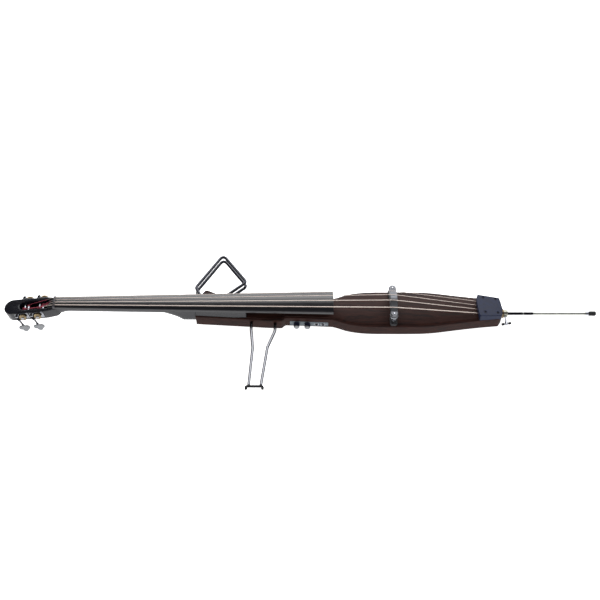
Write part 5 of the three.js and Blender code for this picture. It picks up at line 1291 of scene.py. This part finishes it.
# The rod's steps lie between grooves; the grooves stay bright where the steps are blackened
ROD_START, ROD_END, ROD_RADIUS, GROOVE_GAP = 294.3, 619.3, 4.8, 32
FIRST_GROOVE, BLACK_START, BLACK_END = ROD_START + 126, 410, 467
profile = [[0, ROD_START], [ROD_RADIUS - 1, ROD_START], [ROD_RADIUS, ROD_START + 1]]
for middle in np.arange(FIRST_GROOVE, ROD_END - GROOVE_GAP / 2, GROOVE_GAP):
    profile += [[ROD_RADIUS, middle - 1.2], [4.2, middle - 0.6]]
    profile += [[4.2, middle + 0.6], [ROD_RADIUS, middle + 1.2]]
profile += [[ROD_RADIUS, ROD_END], [0, ROD_END]]
pin_rod = turned(profile, X_AXIS, (0, 0, 0), 40, 0.15)
face_x = pin_rod.points[pin_rod.faces[0]].mean(1)[:, 0]
from_groove = np.abs((face_x - FIRST_GROOVE + GROOVE_GAP / 2) % GROOVE_GAP - GROOVE_GAP / 2)
blackened = (from_groove > 1.3) | (face_x < BLACK_START)
pin_rod.slots[0] = np.where((face_x < BLACK_END) & blackened, 1, 0)
piece("pin_rod", [pin_rod], "endpin", [turned_steel, black_steel], ["endpin_rod"], smooth=50)
ferrule = turned(
    [
        [0, 619.6], [5.0, 619.6], [6.5, 620.9], [6.5, 624], [6.1, 624.4], [6.1, 625], [6.5, 625.4],
        [6.5, 627.4], [5.6, 628.3], [0, 628.3],
    ],
    X_AXIS, (0, 0, 0), 48, 0.3,
)
piece("pin_ferrule", [ferrule], "endpin", [chrome], ["endpin_ferrule"], smooth=40)
profile = [[0, 628.6], [6.6, 628.6], [7.6, 631.4]]
for middle in (635, 639, 643):
    profile += [[7.6, middle - 0.7], [7.1, middle], [7.6, middle + 0.7]]
profile += [[7.6, 648.6], [6.6, 651.2], [5.2, 651.6], [0, 651.6]]
tip = turned(profile, X_AXIS, (0, 0, 0), 56, 0.5)
piece("pin_tip", [tip], "endpin", [black_rubber], ["endpin_tip"], smooth=40)

# Shoulder bow and chest rest: bent rods
BOW_RADIUS, REST_REACH = 5.0, -278.3


def bow_path(z):
    """Middle line of a bow rod at one height: five corners rounded by 14 mm, the rod's two ends carried
    14 mm further into the horn."""
    points = [np.array([x, y, z]) for x, y in ((-609, 50), (-630, 92), (-548, 228), (-467, 114), (-540, 50))]
    into_left = unit(points[0] - points[1])
    into_right = unit(points[4] - points[3])
    corners = [points[0] + 14 * into_left, points[1], points[2], points[3], points[4] + 14 * into_right]
    return rounded_path(corners, 14.0, 16)


for z, name in ((16.5, "upper"), (-6.5, "lower")):
    bow = sweep(bow_path(z), BOW_RADIUS, 28)
    piece(f"bow_rod_{name}", [bow], "bass", [dark_chrome], [f"shoulder_bow_{name}"], smooth=60)

for k, name in enumerate(("left", "right")):
    x0, x1, x2 = (REST_XS[k], (-439.0, -393.5)[k], (-447.0, -410.0)[k])
    side = -float(body_half(x0))
    corners = [
        [x0, side + 48, REST_Z], [x0, side - 30, REST_Z], [x1, -138, REST_Z], [x2, -274, REST_Z],
    ]
    tube = sweep(rounded_path(corners, 40.0, 16), REST_RADIUS, 28)
    piece(
        f"rest_tube_{name}", [tube], "chest_rest", [bent_steel], [f"rest_rod_{name}"], smooth=60
    )
corners = [
    [-454.0, REST_REACH - 9, REST_Z - 4.5],
    [-456.0, REST_REACH, REST_Z],
    [-404.0, REST_REACH, REST_Z],
    [-406.0, REST_REACH - 9, REST_Z - 4.5],
]
grip = sweep(rounded_path(corners, 5.0, 10), 4.0, 28)
piece("rest_grip", [grip], "chest_rest", [black_rubber], ["rest_bar"], smooth=50)

# Parts inside the body keep their solids and get their own finishes
finish_of = {"preamp_board": solder_mask, "battery": battery_jacket}
for name, node in frame["nodes"].items():
    node.data.materials.clear()
    node.data.materials.append(finish_of.get(name, turned_steel))

# Stage: pale floor, softboxes and the camera


# White paper under the part, bright enough to read as the photo's empty ground
floor_paper = new_material(
    "white_paper",
    Base_Color=linear("#fbfbfb"),
    Roughness=0.9,
    Emission_Color=(1, 1, 1, 1),
    Emission_Strength=1.0,
)[0]
FLOOR_HALF = 14
floor_data = bpy.data.meshes.new("floor")
floor_corners = [(x * FLOOR_HALF, y * FLOOR_HALF, 0.0) for x, y in ((-1, -1), (1, -1), (1, 1), (-1, 1))]
floor_data.from_pydata(floor_corners, [], [(0, 1, 2, 3)])
floor_data.materials.append(floor_paper)
floor = bpy.data.objects.new("floor", floor_data)
bpy.context.scene.collection.objects.link(floor)


def softbox(name, place, aim, size, power):
    """Rectangular light at a place, facing an aim point, both in shared metres."""
    data = bpy.data.lights.new(name, "AREA")
    data.shape = "RECTANGLE"
    data.size, data.size_y = size
    data.energy = power
    obj = bpy.data.objects.new(name, data)
    bpy.context.scene.collection.objects.link(obj)
    ahead = unit(np.subtract(aim, place))
    side = unit(np.cross(ahead, [0, 0, 1]))
    over = np.cross(side, ahead)
    matrix = np.eye(4)
    matrix[:3, 0], matrix[:3, 1], matrix[:3, 2], matrix[:3, 3] = side, over, -ahead, place
    obj.matrix_world = Matrix(matrix.tolist())


softbox("key_softbox", (0.55, 2.5, 2.1), (0.3, 0, 0.05), (4.8, 3.6), 215)
softbox("fill_softbox", (0.1, -3.0, 1.6), (0, 0, 0), (4.4, 1.0), 45)
softbox("rim_softbox", (-2.1, 2.6, 0.55), (-1.1, 0, 0.05), (1.6, 0.5), 12)

world_sky = bpy.data.worlds.new("studio")
world_sky.use_nodes = True
world_sky.node_tree.nodes["Background"].inputs["Color"].default_value = (1, 1, 1, 1)
world_sky.node_tree.nodes["Background"].inputs["Strength"].default_value = 0.12
bpy.context.scene.world = world_sky

# The photograph's camera: 2.8 m off, 53 degrees above the face, square to the strings
CAMERA_PLACE = (-292.7, -1680.0, 2312.3)
CAMERA_AHEAD = (0.0, 0.6, -0.8)
camera_data = bpy.data.cameras.new("camera")
camera_data.sensor_width = 36.0
camera_data.lens = 894.6 / 600 * 36.0
camera = bpy.data.objects.new("camera", camera_data)
bpy.context.scene.collection.objects.link(camera)
ahead = CAMERA_AHEAD[1] * ACROSS + CAMERA_AHEAD[2] * UP
matrix = np.eye(4)
matrix[:3, 0] = ALONG
matrix[:3, 1] = np.cross(ALONG, ahead)
matrix[:3, 2] = -ahead
matrix[:3, 3] = shared(CAMERA_PLACE)
camera.matrix_world = Matrix(matrix.tolist())
bpy.context.scene.camera = camera
bpy.context.scene.view_settings.view_transform = "Standard"
